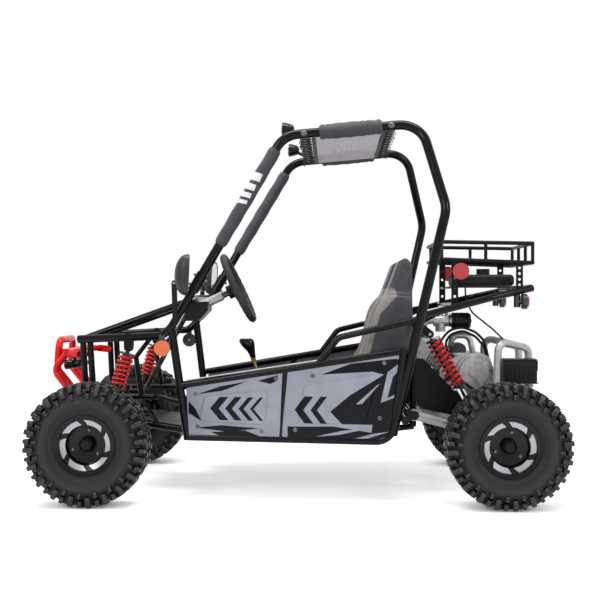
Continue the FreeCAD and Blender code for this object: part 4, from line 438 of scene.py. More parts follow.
FINISHES = {
    # Gloss black powder coat on steel tube: deep black, an even shine and faint orange peel.
    "black": speckled("powder_coat_black", "#030303", "#070708", 3, 0.02, 0.2, spread=0.04,
                      Specular_IOR_Level=0.16),
    # Satin black paint on brackets and plates: duller and slightly grey.
    "satin": speckled("powder_coat_satin", "#060607", "#0D0D0F", 2, 0.05, 0.38, Specular_IOR_Level=0.16),
    # Bright red powder coat on the bumper: saturated, smooth and glossy.
    "red": speckled("powder_coat_red", "#CC030E", "#E00A17", 3, 0.01, 0.22, spread=0.03,
                    Specular_IOR_Level=0.3),
    # Red enamel baked on spring steel: a little darker, as glossy.
    "spring": speckled("spring_enamel_red", "#C00711", "#D8121D", 2, 0.01, 0.26, spread=0.03,
                       Specular_IOR_Level=0.3),
    # Silver-grey paint on the swing arm and guard: flake gives a soft, half metallic sheen.
    "silver": speckled("silver_grey_paint", "#A5A4A3", "#B4B3B2", 2, 0.02, 0.36, 0.3),
    # Zinc-plated steel of bolts and rods: pale grey and semi-bright.
    "zinc": speckled("zinc_plated_steel", "#A2A2A1", "#C0C0C0", 1.5, 0.03, 0.3, 0.9),
    # Blackened steel of the panel and wheel bolts, worn grey on its edges.
    "bolt": speckled("blackened_steel", "#4C4C4E", "#77777A", 1, 0.03, 0.36, 0.7),
    # Oiled dark steel of axle, chain and disc: brown-grey with soft streaks of light.
    "steel": speckled("oiled_steel", "#2E2D2D", "#4B4A49", 2, 0.05, 0.34, 0.85),
    # Cast aluminium whose starter motor is painted black.
    "engine": box_painted(cast_metal("engine_castings"), (-0.603, 0.0125, 0.4862), (-0.547, 0.102, 0.525),
                          "#0D0D0F", 0.35, 0.0),
    # Cast zinc with a brass idle screw.
    "carburettor": box_painted(cast_metal("carburettor_castings"), (-0.545, 0.025, 0.6215),
                               (-0.527, 0.040, 0.640), "#B08F3A", 0.3, 0.9),
    # Moulded black plastic with a fine leather-like grain: matt, a little grey in the light.
    "plastic": speckled("moulded_black_plastic", "#08080A", "#101013", 1, 0.08, 0.42, Specular_IOR_Level=0.2),
    "polished": polished_black("polished_black_plastic"),
    # Dark grey plastic of the mirrors' shells: satin, with broad highlights.
    "shell": speckled("mirror_shell_plastic", "#1B1B1D", "#28282B", 1, 0.05, 0.4, Specular_IOR_Level=0.35),
    # Unprinted inner side of the panels: mid-grey moulded plastic.
    "panel_back": speckled("grey_moulded_plastic", "#66656B", "#76757B", 1.2, 0.08, 0.45),
    # Polished black knob on a brass-plated rod.
    "lever": box_painted(polished_black("lever_knob_and_rod"), (-1, -1, 0), (1, 1, 0.462),
                         "#A58C55", 0.3, 0.9),
    # Closed-cell foam of the steering wheel's rim: matt and finely pitted.
    "foam": speckled("foam_grip", "#141416", "#1F1F22", 0.9, 0.2, 0.72),
    "rubber": black_rubber("black_rubber"),
    # Black rubber hoses, and the throttle cable in a pale grey sleeve on the sill.
    "hose": box_painted(black_rubber("hose_rubber"), (-0.3, 0.2, 0.3), (0.5, 0.5, 0.52),
                        "#C9C7C4", 0.35, 0.0),
    # Rubber of the lugs: warm dark grey with a dusty bloom.
    "tread": speckled("tread_rubber", "#121113", "#242225", 1.4, 0.15, 0.4, Specular_IOR_Level=0.4),
    "film": panel_film(),
    "amber": front_reflector_faces(),
    # Red reflectors: a clear face over deep red prisms.
    "red_lens": prismatic("red_reflector", "#8E141C", "#C8323B"),
    # Black lamp bodies with a bright red lens on the rear face.
    "tail": box_painted(prismatic("tail_lamp_lens", "#8E141C", "#D4424A"), (-0.7925, -1, 0), (0, 1, 2),
                        "#0C0C0E", 0.3, 0.0),
    # Clear ribbed lens of the lamps, backed by a bright reflector.
    "lens": prismatic("lamp_lens", "#8C9198", "#D9DCE0", 5, 0.12, 0.5, 0.25),
    "nylon": charcoal_nylon("charcoal_nylon"),
    "print": pad_print(),
    # Light grey polyester mesh of the canopy: see-through, and pale partly in its own colour and partly as
    # painted light that stands in for the sky shining through it from above.
    "mesh": woven("grey_polyester_mesh", "#B9B5BA", "#DEDADF", 1.6, 0.12, 0.75, Sheen_Weight=0.2,
                  Alpha=0.72),
    # Black elastic of the canopy's hem and cords: dull, with fine ribs.
    "elastic": woven("black_elastic", "#0E0E10", "#1D1D20", 1, 0.1, 0.7),
    "vinyl": seat_cover(),
    "mirror": mirror_glass(),
    "damper": damper_finish(),
}


# Helpers for meshes.


def new_object(name, data):
    item = bpy.data.objects.new(name, data)
    bpy.context.scene.collection.objects.link(item)
    return item


def give_finish(item, finish):
    """Cover an object in one finish, given by its name in the list or as a material."""
    item.data.materials.clear()
    item.data.materials.append(FINISHES[finish] if isinstance(finish, str) else finish)


def piece(name, mesh, finish, body, smooth_angle=35):
    """A mesh object with its finish that rides on a body."""
    data = bpy.data.meshes.new(name)
    bmesh.ops.recalc_face_normals(mesh, faces=mesh.faces)
    mesh.to_mesh(data)
    mesh.free()
    item = new_object(name, data)
    give_finish(item, finish)
    data.shade_smooth()
    data.set_sharp_from_angle(angle=math.radians(smooth_angle))
    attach(item, body)
    return item


def keep_shape(item, name, kind, **settings):
    """Replace an object's mesh by what one modifier makes of it."""
    modifier = item.modifiers.new(name, kind)
    for setting, value in settings.items():
        setattr(modifier, setting, value)
    bpy.context.view_layer.update()
    graph = bpy.context.evaluated_depsgraph_get()
    finished = bpy.data.meshes.new_from_object(item.evaluated_get(graph))
    item.modifiers.clear()
    item.data = finished


def bevel(item, width, segments=2):
    """Round the sharp edges of a piece."""
    keep_shape(item, "Rounding", "BEVEL", width=width, segments=segments, limit_method="ANGLE",
               angle_limit=math.radians(40))


def skin(mesh, rings, closed=False, start_face=True):
    """Join rings of points by a skin, with a face over each open end, or round to the first ring again."""
    rings = [[mesh.verts.new(spot) for spot in ring] for ring in rings]
    for first, second in zip(rings, rings[1:] + rings[:1] if closed else rings[1:]):
        for i in range(len(first)):
            j = (i + 1) % len(first)
            mesh.faces.new((first[i], first[j], second[j], second[i]))
    if not closed:
        if start_face:
            mesh.faces.new(rings[0])
        mesh.faces.new(rings[-1])


def spun(mesh, profile, segments, place, closed=True):
    """Add a surface turned about an axis from (radius, along) points."""
    skin(mesh, [[about_axis(place, radius, math.tau * i / segments, along) for i in range(segments)]
                for radius, along in profile], closed)


def add_rod(mesh, start, end, radius, segments=16):
    """Add a round bar with closed ends."""
    run = end - start
    spun(mesh, [(radius, 0), (radius, run.length)], segments, along_axis(start, run), closed=False)


# Profiles of bolt heads, as shares of their size and height.
WASHER = [(0.72, 0), (0.72, 0.22), (0.70, 0.26)]
HEXAGON = [(0.58, 0.20), (0.58, 0.85), (0.48, 1)]
BUTTON = [(1.25, 0), (1.25, 0.20), (1, 0.25), (0.92, 0.70), (0.66, 1), (0.42, 1), (0.40, 0.45)]


def add_head(mesh, spot, direction, size, height, shape):
    for profile, segments in shape:
        spun(mesh, [(size * radius, height * along) for radius, along in profile], segments,
             along_axis(spot, direction), closed=False)


def add_hexagon(mesh, spot, direction, across, height):
    """Add a hexagonal head with a washer."""
    add_head(mesh, spot, direction, across, height, ((WASHER, 20), (HEXAGON, 6)))


def add_button(mesh, spot, direction, radius, height):
    """Add a low domed bolt head with its socket's rim."""
    add_head(mesh, spot, direction, radius, height, ((BUTTON, 20),))


def add_block(mesh, low, high):
    """Add a box between two corners."""
    spots = [mesh.verts.new((x, y, z)) for x in (low[0], high[0]) for y in (low[1], high[1])
             for z in (low[2], high[2])]
    for face in ((0, 1, 3, 2), (4, 6, 7, 5), (0, 4, 5, 1), (2, 3, 7, 6), (0, 2, 6, 4), (1, 5, 7, 3)):
        mesh.faces.new([spots[i] for i in face])


def rounded_outline(corners, radius, steps=5):
    """The points of a flat outline with round corners, from its (station, height) corners in order."""
    points = []
    corners = [Vector((x, 0, z)) for x, z in corners]
    for i, corner in enumerate(corners):
        back = (corners[i - 1] - corner).normalized()
        ahead = (corners[(i + 1) % len(corners)] - corner).normalized()
        half = back.angle(ahead) / 2
        reach = radius / math.tan(half)
        centre = corner + (back + ahead).normalized() * (radius / math.sin(half))
        first = corner + back * reach - centre
        last = corner + ahead * reach - centre
        for step in range(steps + 1):
            points.append(centre + first.normalized().slerp(last.normalized(), step / steps) * radius)
    return points


# Rigid nodes that keep their shapes.

NODE_FINISHES = {
    "black": ["side_frame_left", "side_frame_right", "roll_cage", "nose_frame", "floor_frame", "rear_frame",
              "front_arms"],
    "satin": ["rack", "floor_pan", "mudguards", "hub_front_left", "hub_front_right", "rear_hubs", "pedals",
              "exhaust"],
    "red": ["bumper"], "spring": ["springs"], "silver": ["swing_arm", "column_bracket"],
    "steel": ["rear_axle", "brake_disc", "sprocket", "drive_chain", "knuckle_left", "knuckle_right",
              "steering_shaft", "lower_steering_shaft"],
    "zinc": ["tie_rod_left", "tie_rod_right"], "engine": ["engine"], "carburettor": ["carburettor"],
    "plastic": ["dash_box", "battery_box", "fuel_tank", "air_filter"],
    "polished": ["spot_lamps"], "lever": ["gear_lever"], "damper": ["dampers"], "hose": ["hoses"],
    "amber": ["front_reflectors"], "red_lens": ["rear_reflectors"], "tail": ["tail_lamps"],
}
for finish, nodes in NODE_FINISHES.items():
    for node in nodes:
        give_finish(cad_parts[node], finish)


# Wheels.

TYRE_RADIUS = 0.2030
TREAD_DEPTH = 13 * MM
BEAD_RADIUS = 0.0893
LUG_PITCHES = 20
LUG_ROOT = 0.004
WIDE_TYRE = 0.17
# Crown rows, as shares of half the width (inner, outer), and how far they are turned, in pitches.
CROWN_ROWS = [(0.04, 0.27, 0.0), (0.33, 0.52, 0.5)]
WIDE_CROWN_ROWS = [(0.03, 0.21, 0.0), (0.26, 0.39, 0.5), (0.44, 0.55, 0.1)]
NUT_CIRCLE = 0.048
NUT_FACE_INSET = 0.065


def wheel_place(middle, side):
    """The frame of a wheel: Z points out of its face."""
    return Matrix.Translation(middle) @ Matrix.Rotation(math.radians(-90 * side), 4, "X")


def add_lug(mesh, place, pitch, face, outline, width, taper):
    """Add a lug from its outline across the tread: (along, radius, whether it is drawn in) points."""
    spin = place @ Matrix.Rotation(math.tau * pitch / LUG_PITCHES, 4, "Z")
    skin(mesh, [[spin @ Vector((radius, sign * width / 2 * (taper if tip else 1), face * along))
                 for along, radius, tip in outline] for sign in (-1, 1)])


def tyre(name, side, body, rubber):
    """A knobbly tyre: a smooth wall with fine rings, two shoulder rows and a staggered crown."""
    low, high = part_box(name)
    middle = (low + high) / 2
    middle.z = AXLE_HEIGHT
    half = (high.y - low.y) / 2
    tip, bead = TYRE_RADIUS, BEAD_RADIUS
    crown = tip - TREAD_DEPTH
    root = crown - LUG_ROOT
    place = wheel_place(middle, side)
    wall = [
        (half - 0.020, bead), (half - 0.0195, bead + 0.0108), (half - 0.0140, bead + 0.0165),
        (half - 0.0075, bead + 0.027), (half - 0.0042, bead + 0.042), (half - 0.0060, bead + 0.058),
        (half - 0.0120, crown - 0.023), (half - 0.019, crown - 0.009), (half * 0.60, crown - 0.0015),
        (0, crown),
    ]
    ring = wall + [(-along, radius) for along, radius in reversed(wall[:-1])]
    mesh = bmesh.new()
    spun(mesh, [(radius, along) for along, radius in ring], 72, place)
    wall_piece = piece(name + "_wall", mesh, rubber, body, smooth_angle=70)
    keep_shape(wall_piece, "Smooth", "SUBSURF", levels=1, render_levels=1)
    mesh = bmesh.new()
    for radius, along in ((bead + 0.0245, half - 0.0082), (bead + 0.052, half - 0.0046)):
        for face in SIDES:
            rib = [(-0.0016, -0.0012), (0, 0.0008), (0.0016, -0.0012), (0, -0.003)]
            spun(mesh, [(radius + out, face * (along + rise)) for out, rise in rib], 96, place)
    shoulder = [(half * 0.58, root, 0), (half * 0.60, tip, 1), (half * 0.84, tip - 0.0008, 1),
                (half - 0.0030, crown - 0.003, 1), (half - 0.0018, 0.1725, 1), (half - 0.0065, 0.1665, 1),
                (half - 0.020, 0.170, 0)]
    short = [(half * 0.64, root, 0), (half * 0.66, tip - 0.0012, 1), (half * 0.88, tip - 0.003, 1),
             (half - 0.0055, root, 1), (half - 0.0060, 0.1810, 1), (half - 0.018, 0.178, 0)]
    knob = [(half - 0.020, 0.1735, 0), (half - 0.0040, 0.1720, 1), (half - 0.0012, 0.1690, 1),
            (half - 0.0012, 0.1590, 1), (half - 0.0035, 0.1545, 1), (half - 0.012, 0.152, 0)]
    for face, shift in ((1, 0.25), (-1, 0.75)):
        for i in range(LUG_PITCHES):
            for turn, outline, width in ((0.0, shoulder, 0.021), (0.5, short, 0.018), (0.5, knob, 0.015)):
                pitch = i + shift + turn + chance.uniform(-0.02, 0.02)
                add_lug(mesh, place, pitch, face, outline, width, 0.7)
            for inner, outer, turn in WIDE_CROWN_ROWS if half * 2 > WIDE_TYRE else CROWN_ROWS:
                block = [(half * inner, root, 0), (half * inner, tip, 1), (half * outer, tip, 1),
                         (half * outer, root, 0)]
                add_lug(mesh, place, i + shift + turn + 0.22, face, block, 0.027, 0.78)
    lugs = piece(name + "_lugs", mesh, "tread", body)
    bevel(lugs, 1.4 * MM, segments=1)
    for item in (wall_piece, lugs):
        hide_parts(name)


def wheel_face(name, middle, side, width, body):
    """Three wheel nuts and the hexagon at the root of the hub's cap."""
    place = wheel_place(middle, side)
    face = width / 2 - NUT_FACE_INSET
    mesh = bmesh.new()
    for i in range(3):
        spot = about_axis(place, NUT_CIRCLE, math.radians(-100 * side + 120 * i), face)
        add_hexagon(mesh, spot, place.to_3x3() @ UP, 0.0085, 0.011)
    piece(name + "_nuts", mesh, "bolt", body)
    mesh = bmesh.new()
    nut = [(0.0268, face), (0.0268, face + 0.008), (0.0252, face + 0.0100), (0.0238, face + 0.0100)]
    spun(mesh, nut, 6, place, closed=False)
    piece(name + "_nut", mesh, "plastic", body)


for end, station in (("front", FRONT_AXLE), ("rear", -FRONT_AXLE)):
    rubber = wall_rubber(f"wall_rubber_{end}", Vector((station, 0, AXLE_HEIGHT)))
    for side, side_name in SIDES.items():
        name = f"{end}_{side_name}"
        body = f"front_wheel_{side_name}" if end == "front" else "rear_axle"
        low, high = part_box(f"tyre_{name}")
        middle = Vector((station, (low.y + high.y) / 2, AXLE_HEIGHT))
        tyre(f"tyre_{name}", side, body, rubber)
        wheel_face(f"wheel_{name}", middle, side, high.y - low.y, body)
        if end == "front":
            give_finish(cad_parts[f"rim_{name}"], wheel_paint(f"wheel_enamel_{name}", middle))
rear_enamel = wheel_paint("wheel_enamel_rear", Vector((-FRONT_AXLE, 0, AXLE_HEIGHT)))
give_finish(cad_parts["rear_rims"], rear_enamel)


# Side panels with a raised field, rounded as a moulding is.

# Each panel's outline with its corners' radius, and the outline of its field.
PANEL_OUTLINES = {
    "front": ([(0.376, 0.212), (0.062, 0.212), (0.044, 0.440), (0.384, 0.376)], 0.006,
              [(0.340, 0.262), (0.110, 0.254), (0.098, 0.372), (0.322, 0.350)]),
    "rear": ([(0.054, 0.212), (-0.300, 0.212), (-0.322, 0.240), (-0.366, 0.504), (0.036, 0.442)], 0.010,
             [(0.000, 0.262), (-0.228, 0.262), (-0.272, 0.430), (-0.020, 0.392)]),
}
PANEL_BOLTS = [(0.350, 0.356), (0.072, 0.412), (0.344, 0.244), (0.122, 0.232),
               (-0.052, 0.424), (-0.290, 0.470), (-0.276, 0.285), (0.008, 0.240)]
# The sheet's section at its edge: how far each ring is drawn in, and how far out it lies.
PANEL_EDGE = ((0.0008, 0.0082), (0.0, 0.0092), (0.0006, 0.0106), (0.0022, 0.0111))
PANEL_FACE = 0.0112
FIELD_STEPS = 8
FIELD_CORNER = 0.016
FIELD_FOOT = 0.0109
FIELD_SLOPE = 0.0055
FIELD_RISE = 0.0042


# The side frame's plane: its front and rear end, its foot, half its width in front, and how it leans out.
FRAME_FRONT, FRAME_REAR, FRAME_FOOT = 0.381, -0.316, 0.207
FRAME_HALF_WIDTH = 0.300
FRAME_FLARE = 0.1 / (FRAME_FRONT - FRAME_REAR)
FRAME_LEAN = 0.05


def panel_point(station, height, offset, side):
    """A point on the panel's outside, a distance out from the frame's plane."""
    reach = FRAME_HALF_WIDTH + FRAME_FLARE * (FRAME_FRONT - station) + FRAME_LEAN * (height - FRAME_FOOT)
    return Vector((station, side * (reach + offset), height))


def panel_ring(edge, inset, offset, side):
    """An edge drawn in towards its middle, on the panel's surface."""
    centre = sum(edge, Vector()) / len(edge)
    return [panel_point(*(p + (centre - p).normalized() * inset).xz, offset, side) for p in edge]


def side_panel(name, side):
    """A moulded panel: a flat sheet and a field raised on a soft slope."""
    outline, radius, field = PANEL_OUTLINES[name]
    mesh = bmesh.new()
    edge = rounded_outline(outline, radius)
    skin(mesh, [panel_ring(edge, inset, offset, side) for inset, offset in PANEL_EDGE])
    edge = rounded_outline(field, FIELD_CORNER, steps=8)
    slope = [step / FIELD_STEPS for step in range(FIELD_STEPS + 1)]
    skin(mesh, [panel_ring(edge, share * FIELD_SLOPE,
                           FIELD_FOOT + FIELD_RISE * (0.5 - 0.5 * math.cos(math.pi * share)), side)
                for share in slope], start_face=False)
    item = piece(f"{name}_panel_{SIDES[side]}", mesh, "film", "chassis", 30)
    item.data.materials.append(FINISHES["panel_back"])
    for face in item.data.polygons:
        if face.normal.y * side < -0.7:
            face.material_index = 1
    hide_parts("side_panels")


for side in SIDES:
    for name in PANEL_OUTLINES:
        side_panel(name, side)
mesh = bmesh.new()
for side in SIDES:
    for station, height in PANEL_BOLTS:
        spot = panel_point(station, height, PANEL_FACE, side)
        add_button(mesh, spot, Vector((0, side, 0.05)), 0.0062, 0.0045)
piece("panel_bolts", mesh, "bolt", "chassis")


# Cage: sleeve bolts and cross tube bolts.

SLEEVE_HEIGHT = 0.738
SLEEVE_RADIUS = 0.0185


def cage_bolts():
    """Bolt heads on the cage's sleeves and at the ends of its cross tubes."""
    mesh = bmesh.new()
    way = (ROOF_FRONT - POST_HEAD).normalized()
    front = Vector((way.z, 0, -way.x)).normalized()
    for side in SIDES:
        for shift in (-0.018, 0.018):
            spot = on_side(at_height(POST_HEAD, ROOF_FRONT, SLEEVE_HEIGHT) + way * shift, side)
            for facing in (front, -front):
                add_hexagon(mesh, spot + facing * SLEEVE_RADIUS, facing, 0.0075, 0.008)
        for station in (FRONT_CROSS, REAR_CROSS):
            spot = on_side(at_station(ROOF_FRONT, ROOF_REAR, station), side)
            add_button(mesh, spot + LEFT * side * 0.0155, LEFT * side, 0.0085, 0.0055)
    piece("cage_bolts", mesh, "bolt", "chassis")


cage_bolts()


# Pads round the cage: the heights and the stations of their ends.

PILLAR_PAD_ENDS = (0.866, 1.186)
ROOF_PAD_ENDS = (-0.074, -0.284)
PAD_PLAY = 0.4 * MM


def foam_pad(name, start, end, radius, bands, finish):
    """A foam sleeve in fabric: swollen between its ends, drawn in at its bands, seamed along its length."""
    bulge, band_depth, seam_depth, crease_depth = 0.0015, 0.0022, 0.0018, 0.0007
    band_width, seam_width, end_width = 0.018, 0.09, 0.035
    seam_at = 4.2
    steps, around = 60, 48
    run = end - start
    place = along_axis(start, run)
    angles = [math.tau * i / around for i in range(around)]
    rings = []
    for step in range(steps + 1):
        share = step / steps
        end_fall = min(1.0, min(share, 1 - share) / end_width)
        swell = radius * (0.86 + 0.14 * math.sqrt(end_fall)) + bulge * math.sin(math.pi * share)
        for band in bands:
            swell -= band_depth * math.exp(-((share - band) / band_width) ** 2)
        ring = []
        for angle in angles:
            crease = crease_depth * math.sin(9 * share * math.pi + 3 * math.cos(angle)) * end_fall
            seam = -seam_depth * math.exp(-((angle - seam_at) / seam_width) ** 2)
            ring.append(about_axis(place, swell + crease + seam, angle, run.length * share))
        rings.append(ring)
    bore = [[about_axis(place, CAGE_RADIUS + PAD_PLAY, angle, at_end) for angle in angles]
            for at_end in (0, run.length)]
    mesh = bmesh.new()
    skin(mesh, [bore[0], *rings, bore[1]], closed=True)
    item = piece(name, mesh, finish, "chassis", 60)
    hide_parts("cage_pads")


for side, side_name in SIDES.items():
    low_end, high_end = (on_side(at_height(POST_HEAD, ROOF_FRONT, height), side)
                         for height in PILLAR_PAD_ENDS)
    foam_pad(f"pillar_pad_{side_name}", low_end, high_end, 0.0212, (), "print")
    front_end, rear_end = (on_side(at_station(ROOF_FRONT, ROOF_REAR, station), side)
                           for station in ROOF_PAD_ENDS)
    foam_pad(f"roof_pad_{side_name}", front_end, rear_end, 0.0245, (0.1, 0.74, 0.9), "nylon")


# Canopy: a stretched sheet with folds that fan out from its corners, laced to the cross tubes.

CANOPY_FRONT = at_station(ROOF_FRONT, ROOF_REAR, -0.054)
CANOPY_REAR = at_station(ROOF_FRONT, ROOF_REAR, -0.290)
CANOPY_DROP = 0.0135
CANOPY_SAG = 0.006
CANOPY_WAIST = 0.006
FOLD_HEIGHT = 0.0022
# The sheet's corners with how many folds fan out of each, and where the first one starts.
FOLD_CORNERS = ((0, 0, 9, 0.3), (1, 0, 8, 1.1), (0, 1, 7, 2.0), (1, 1, 9, 0.7))
CORDS = 11
CORD_SPREAD = 0.010
CORD_WRAP = 0.0125


def canopy_height(across, along):
    """How far the sheet rises from its plane, at a share of its width and of its length."""
    fold = 0.0
    for corner_across, corner_along, count, phase in FOLD_CORNERS:
        du, dv = (across - corner_across) * 2.4, along - corner_along
        fold += math.exp(-((du * du + dv * dv) / 0.5)) * math.sin(count * math.atan2(dv, du) * 2 + phase)
    return FOLD_HEIGHT * fold - CANOPY_SAG * math.sin(math.pi * across) * math.sin(math.pi * along)


def canopy_sheet(half):
    columns, rows = 96, 64
    mesh = bmesh.new()
    grid = []
    for i in range(rows + 1):
        along = i / rows
        spot = share_of(CANOPY_FRONT, CANOPY_REAR, along)
        row = []
        for j in range(columns + 1):
            across = j / columns
            side = 2 * across - 1
            pull = math.sin(math.pi * along) * CANOPY_WAIST * abs(side) ** 3
            row.append(mesh.verts.new((spot.x, half * side * (1 - pull),
                                       spot.z - CANOPY_DROP + canopy_height(across, along))))
        grid.append(row)
    for first, second in zip(grid, grid[1:]):
        for corners in zip(first, first[1:], second[1:], second):
            mesh.faces.new(corners)
    item = piece("canopy_sheet", mesh, "mesh", "chassis", 60)
    keep_shape(item, "Cloth", "SOLIDIFY", thickness=0.0012, offset=0)
    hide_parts("canopy")


def canopy_hem(half):
    """The hem's bars, and the elastic cords that lace them to the cross tubes."""
    mesh = bmesh.new()
    for edge, cross_station in ((CANOPY_FRONT, FRONT_CROSS), (CANOPY_REAR, REAR_CROSS)):
        x, z = edge.x, edge.z - CANOPY_DROP
        add_block(mesh, (x - 0.007, -half, z - 0.0016), (x + 0.007, half, z + 0.0016))
        tube = at_station(ROOF_FRONT, ROOF_REAR, cross_station)
        ahead = 1 if cross_station > x else -1
        for k in range(CORDS):
            side = -half + 0.018 + (2 * half - 0.036) * k / (CORDS - 1)
            for over in (1, -1):
                add_rod(mesh, Vector((x, side + over * CORD_SPREAD, z)),
                        Vector((tube.x, side, tube.z + over * CORD_WRAP)), 0.0022)
            spun(mesh, [(0.0128, 0), (0.0156, 0.001), (0.0156, 0.007), (0.0128, 0.008)], 28,
                 along_axis(Vector((tube.x, side - 0.004, tube.z)), LEFT))
            knot = Vector((tube.x + ahead * 0.013, side, tube.z - 0.006))
            tail = Vector((ahead * 0.004, 0.003, -0.016 - chance.uniform(0, 0.010)))
            add_rod(mesh, knot, knot + tail, 0.0016, 8)
    hem = piece("canopy_hem", mesh, "elastic", "chassis")
    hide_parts("canopy")


canopy_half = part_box("canopy")[1].y - 0.001
canopy_sheet(canopy_half)
canopy_hem(canopy_half)


# Seats.

BOLSTER_LINE = [(0.022, 0.244), (0.040, 0.312), (-0.120, 0.352), (-0.176, 0.420), (-0.222, 0.490),
                (-0.262, 0.640), (-0.318, 0.700)]
BAND_REACH = 0.019
BAND_BLUR = 0.03


def distance_to_line(point, line):
    """How far a (station, height) point lies from a bent line."""
    best = 1.0
    spot = Vector(point)
    for start, end in zip(line, line[1:]):
        start, run = Vector(start), Vector(end) - Vector(start)
        share = max(0.0, min(1.0, (spot - start).dot(run) / run.length_squared))
        best = min(best, (spot - start - run * share).length)
    return best


def seat(name):
    """A bucket seat: the CAD block softened to foam, with the bolsters' bands."""
    item = new_object(f"{name}_cover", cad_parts[name].data.copy())
    keep_shape(item, "Voxels", "REMESH", mode="VOXEL", voxel_size=0.007)
    keep_shape(item, "Smooth", "SMOOTH", factor=0.5, iterations=14)
    band = item.data.attributes.new("band", "FLOAT", "POINT")
    for vertex in item.data.vertices:
        gap = distance_to_line((vertex.co.x, vertex.co.z), BOLSTER_LINE)
        band.data[vertex.index].value = max(0.0, min(1.0, 0.5 + (BAND_REACH - gap) / BAND_BLUR))
    give_finish(item, "vinyl")
    item.data.shade_smooth()
    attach(item, "chassis")
    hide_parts(name)


seat("seat_left")
seat("seat_right")


# Steering wheel.

WHEEL_MIDDLE = Vector((0.216, 0.190, 0.719))
COLUMN_SLOPE = math.radians(25.4)
COLUMN_AXIS = Vector((-math.cos(COLUMN_SLOPE), 0, math.sin(COLUMN_SLOPE)))
WHEEL_RADIUS = 0.1325
GRIP_RADIUS = 0.0128
FINGER_SWELLS = 24
SPOKE_ROOT = 0.018
WHEEL_DISH = 0.021
SPOKE_HALF_THICKNESS = 0.0015
SCREW_CIRCLE = 0.031


def steering_wheel():
    """A three-spoke wheel: a foam rim with finger swells, flat spokes and a dished boss."""
    place = along_axis(WHEEL_MIDDLE, COLUMN_AXIS)
    ring_radius = WHEEL_RADIUS - GRIP_RADIUS
    around, tube = 144, 20
    rings = []
    for i in range(around):
        angle = math.tau * i / around
        swell = GRIP_RADIUS * (0.965 + 0.035 * math.cos(angle * FINGER_SWELLS))
        turns = [math.tau * j / tube for j in range(tube)]
        rings.append([about_axis(place, ring_radius + swell * math.cos(turn), angle, swell * math.sin(turn))
                      for turn in turns])
    mesh = bmesh.new()
    skin(mesh, rings, closed=True)
    rim = piece("steering_wheel_rim", mesh, "foam", "steering", 60)
    mesh = bmesh.new()
    for angle in (90, 210, 330):
        spin = place @ Matrix.Rotation(math.radians(angle), 4, "Z")
        steps = 12
        rows = []
        for i in range(steps + 1):
            share = i / steps
            reach = SPOKE_ROOT + share * (ring_radius - SPOKE_ROOT)
            height = WHEEL_DISH * (share ** 1.6 - 1)
            half = 0.0155 - 0.0045 * share
            rows.append([spin @ Vector((reach, half * a, height + SPOKE_HALF_THICKNESS * b))
                         for a, b in ((-1, -1), (1, -1), (1, 1), (-1, 1))])
        skin(mesh, rows)
    boss = [(0.024, -0.040), (0.024, -0.021), (0.040, -0.0215), (0.041, -0.019), (0.030, -0.0145),
            (0.006, -0.012)]
    spun(mesh, boss, 48, place, closed=False)
    spokes = piece("steering_wheel_spokes", mesh, "satin", "steering")
    bevel(spokes, 0.8 * MM)
    for item in (rim, spokes):
        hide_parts("steering_wheel")
    mesh = bmesh.new()
    for i in range(6):
        spot = about_axis(place, SCREW_CIRCLE, math.tau * (i + 0.5) / 6, -0.016)
        add_button(mesh, spot, COLUMN_AXIS, 0.0036, 0.003)
    piece("steering_wheel_screws", mesh, "zinc", "steering")


steering_wheel()


# Lenses and mirror glass.

# The lamps' faces on the left: middle and lens radius.
LAMP_FACES = ((Vector((0.0572, 0.261, 1.268)), 0.0215), (Vector((0.8672, 0.062, 0.439)), 0.0152))


def lenses():
    """Domed lenses of the roof and nose lamps."""
    mesh = bmesh.new()
    for side in SIDES:
        for face, radius in LAMP_FACES:
            spun(mesh, [(radius, -0.001), (radius, 0.0006), (radius * 0.85, 0.0022), (radius * 0.4, 0.0036),
                        (radius * 0.05, 0.004)], 40, along_axis(on_side(face, side), FORWARD), closed=False)
    piece("lamp_lenses", mesh, "lens", "chassis", 60)


lenses()

MIRROR_YAW = math.radians(11)
MIRROR_HALF_HEIGHT = 0.0695
MIRROR_HALF_WIDTH = 0.0445
# The shell from its lip round the glass to its back: how far ahead, and the share of its full size.
MIRROR_SHELL = ((0.0022, 0.90), (-0.0004, 0.925), (0.0, 0.97), (0.003, 1.0), (0.011, 0.995), (0.019, 0.955),
                (0.028, 0.86), (0.035, 0.72), (0.041, 0.53), (0.0450, 0.27), (0.046, 0.05))
MIRROR_GLASS = ((0.0021, 0.89), (0.0014, 0.89))


def flat_bar(mesh, start, end, radius, thickness):
    """Add a flat bar with round ends that faces outwards."""
    along = (end - start).normalized()
    facing = (LEFT - along * along.y).normalized()
    across = along.cross(facing)
    ends = [(middle, turn - math.pi / 2 + math.pi * i / 12)
            for middle, turn in ((start, math.pi), (end, 0.0)) for i in range(13)]
    skin(mesh, [[middle + facing * offset + (along * math.cos(angle) + across * math.sin(angle)) * radius
                 for middle, angle in ends] for offset in (-thickness / 2, thickness / 2)])


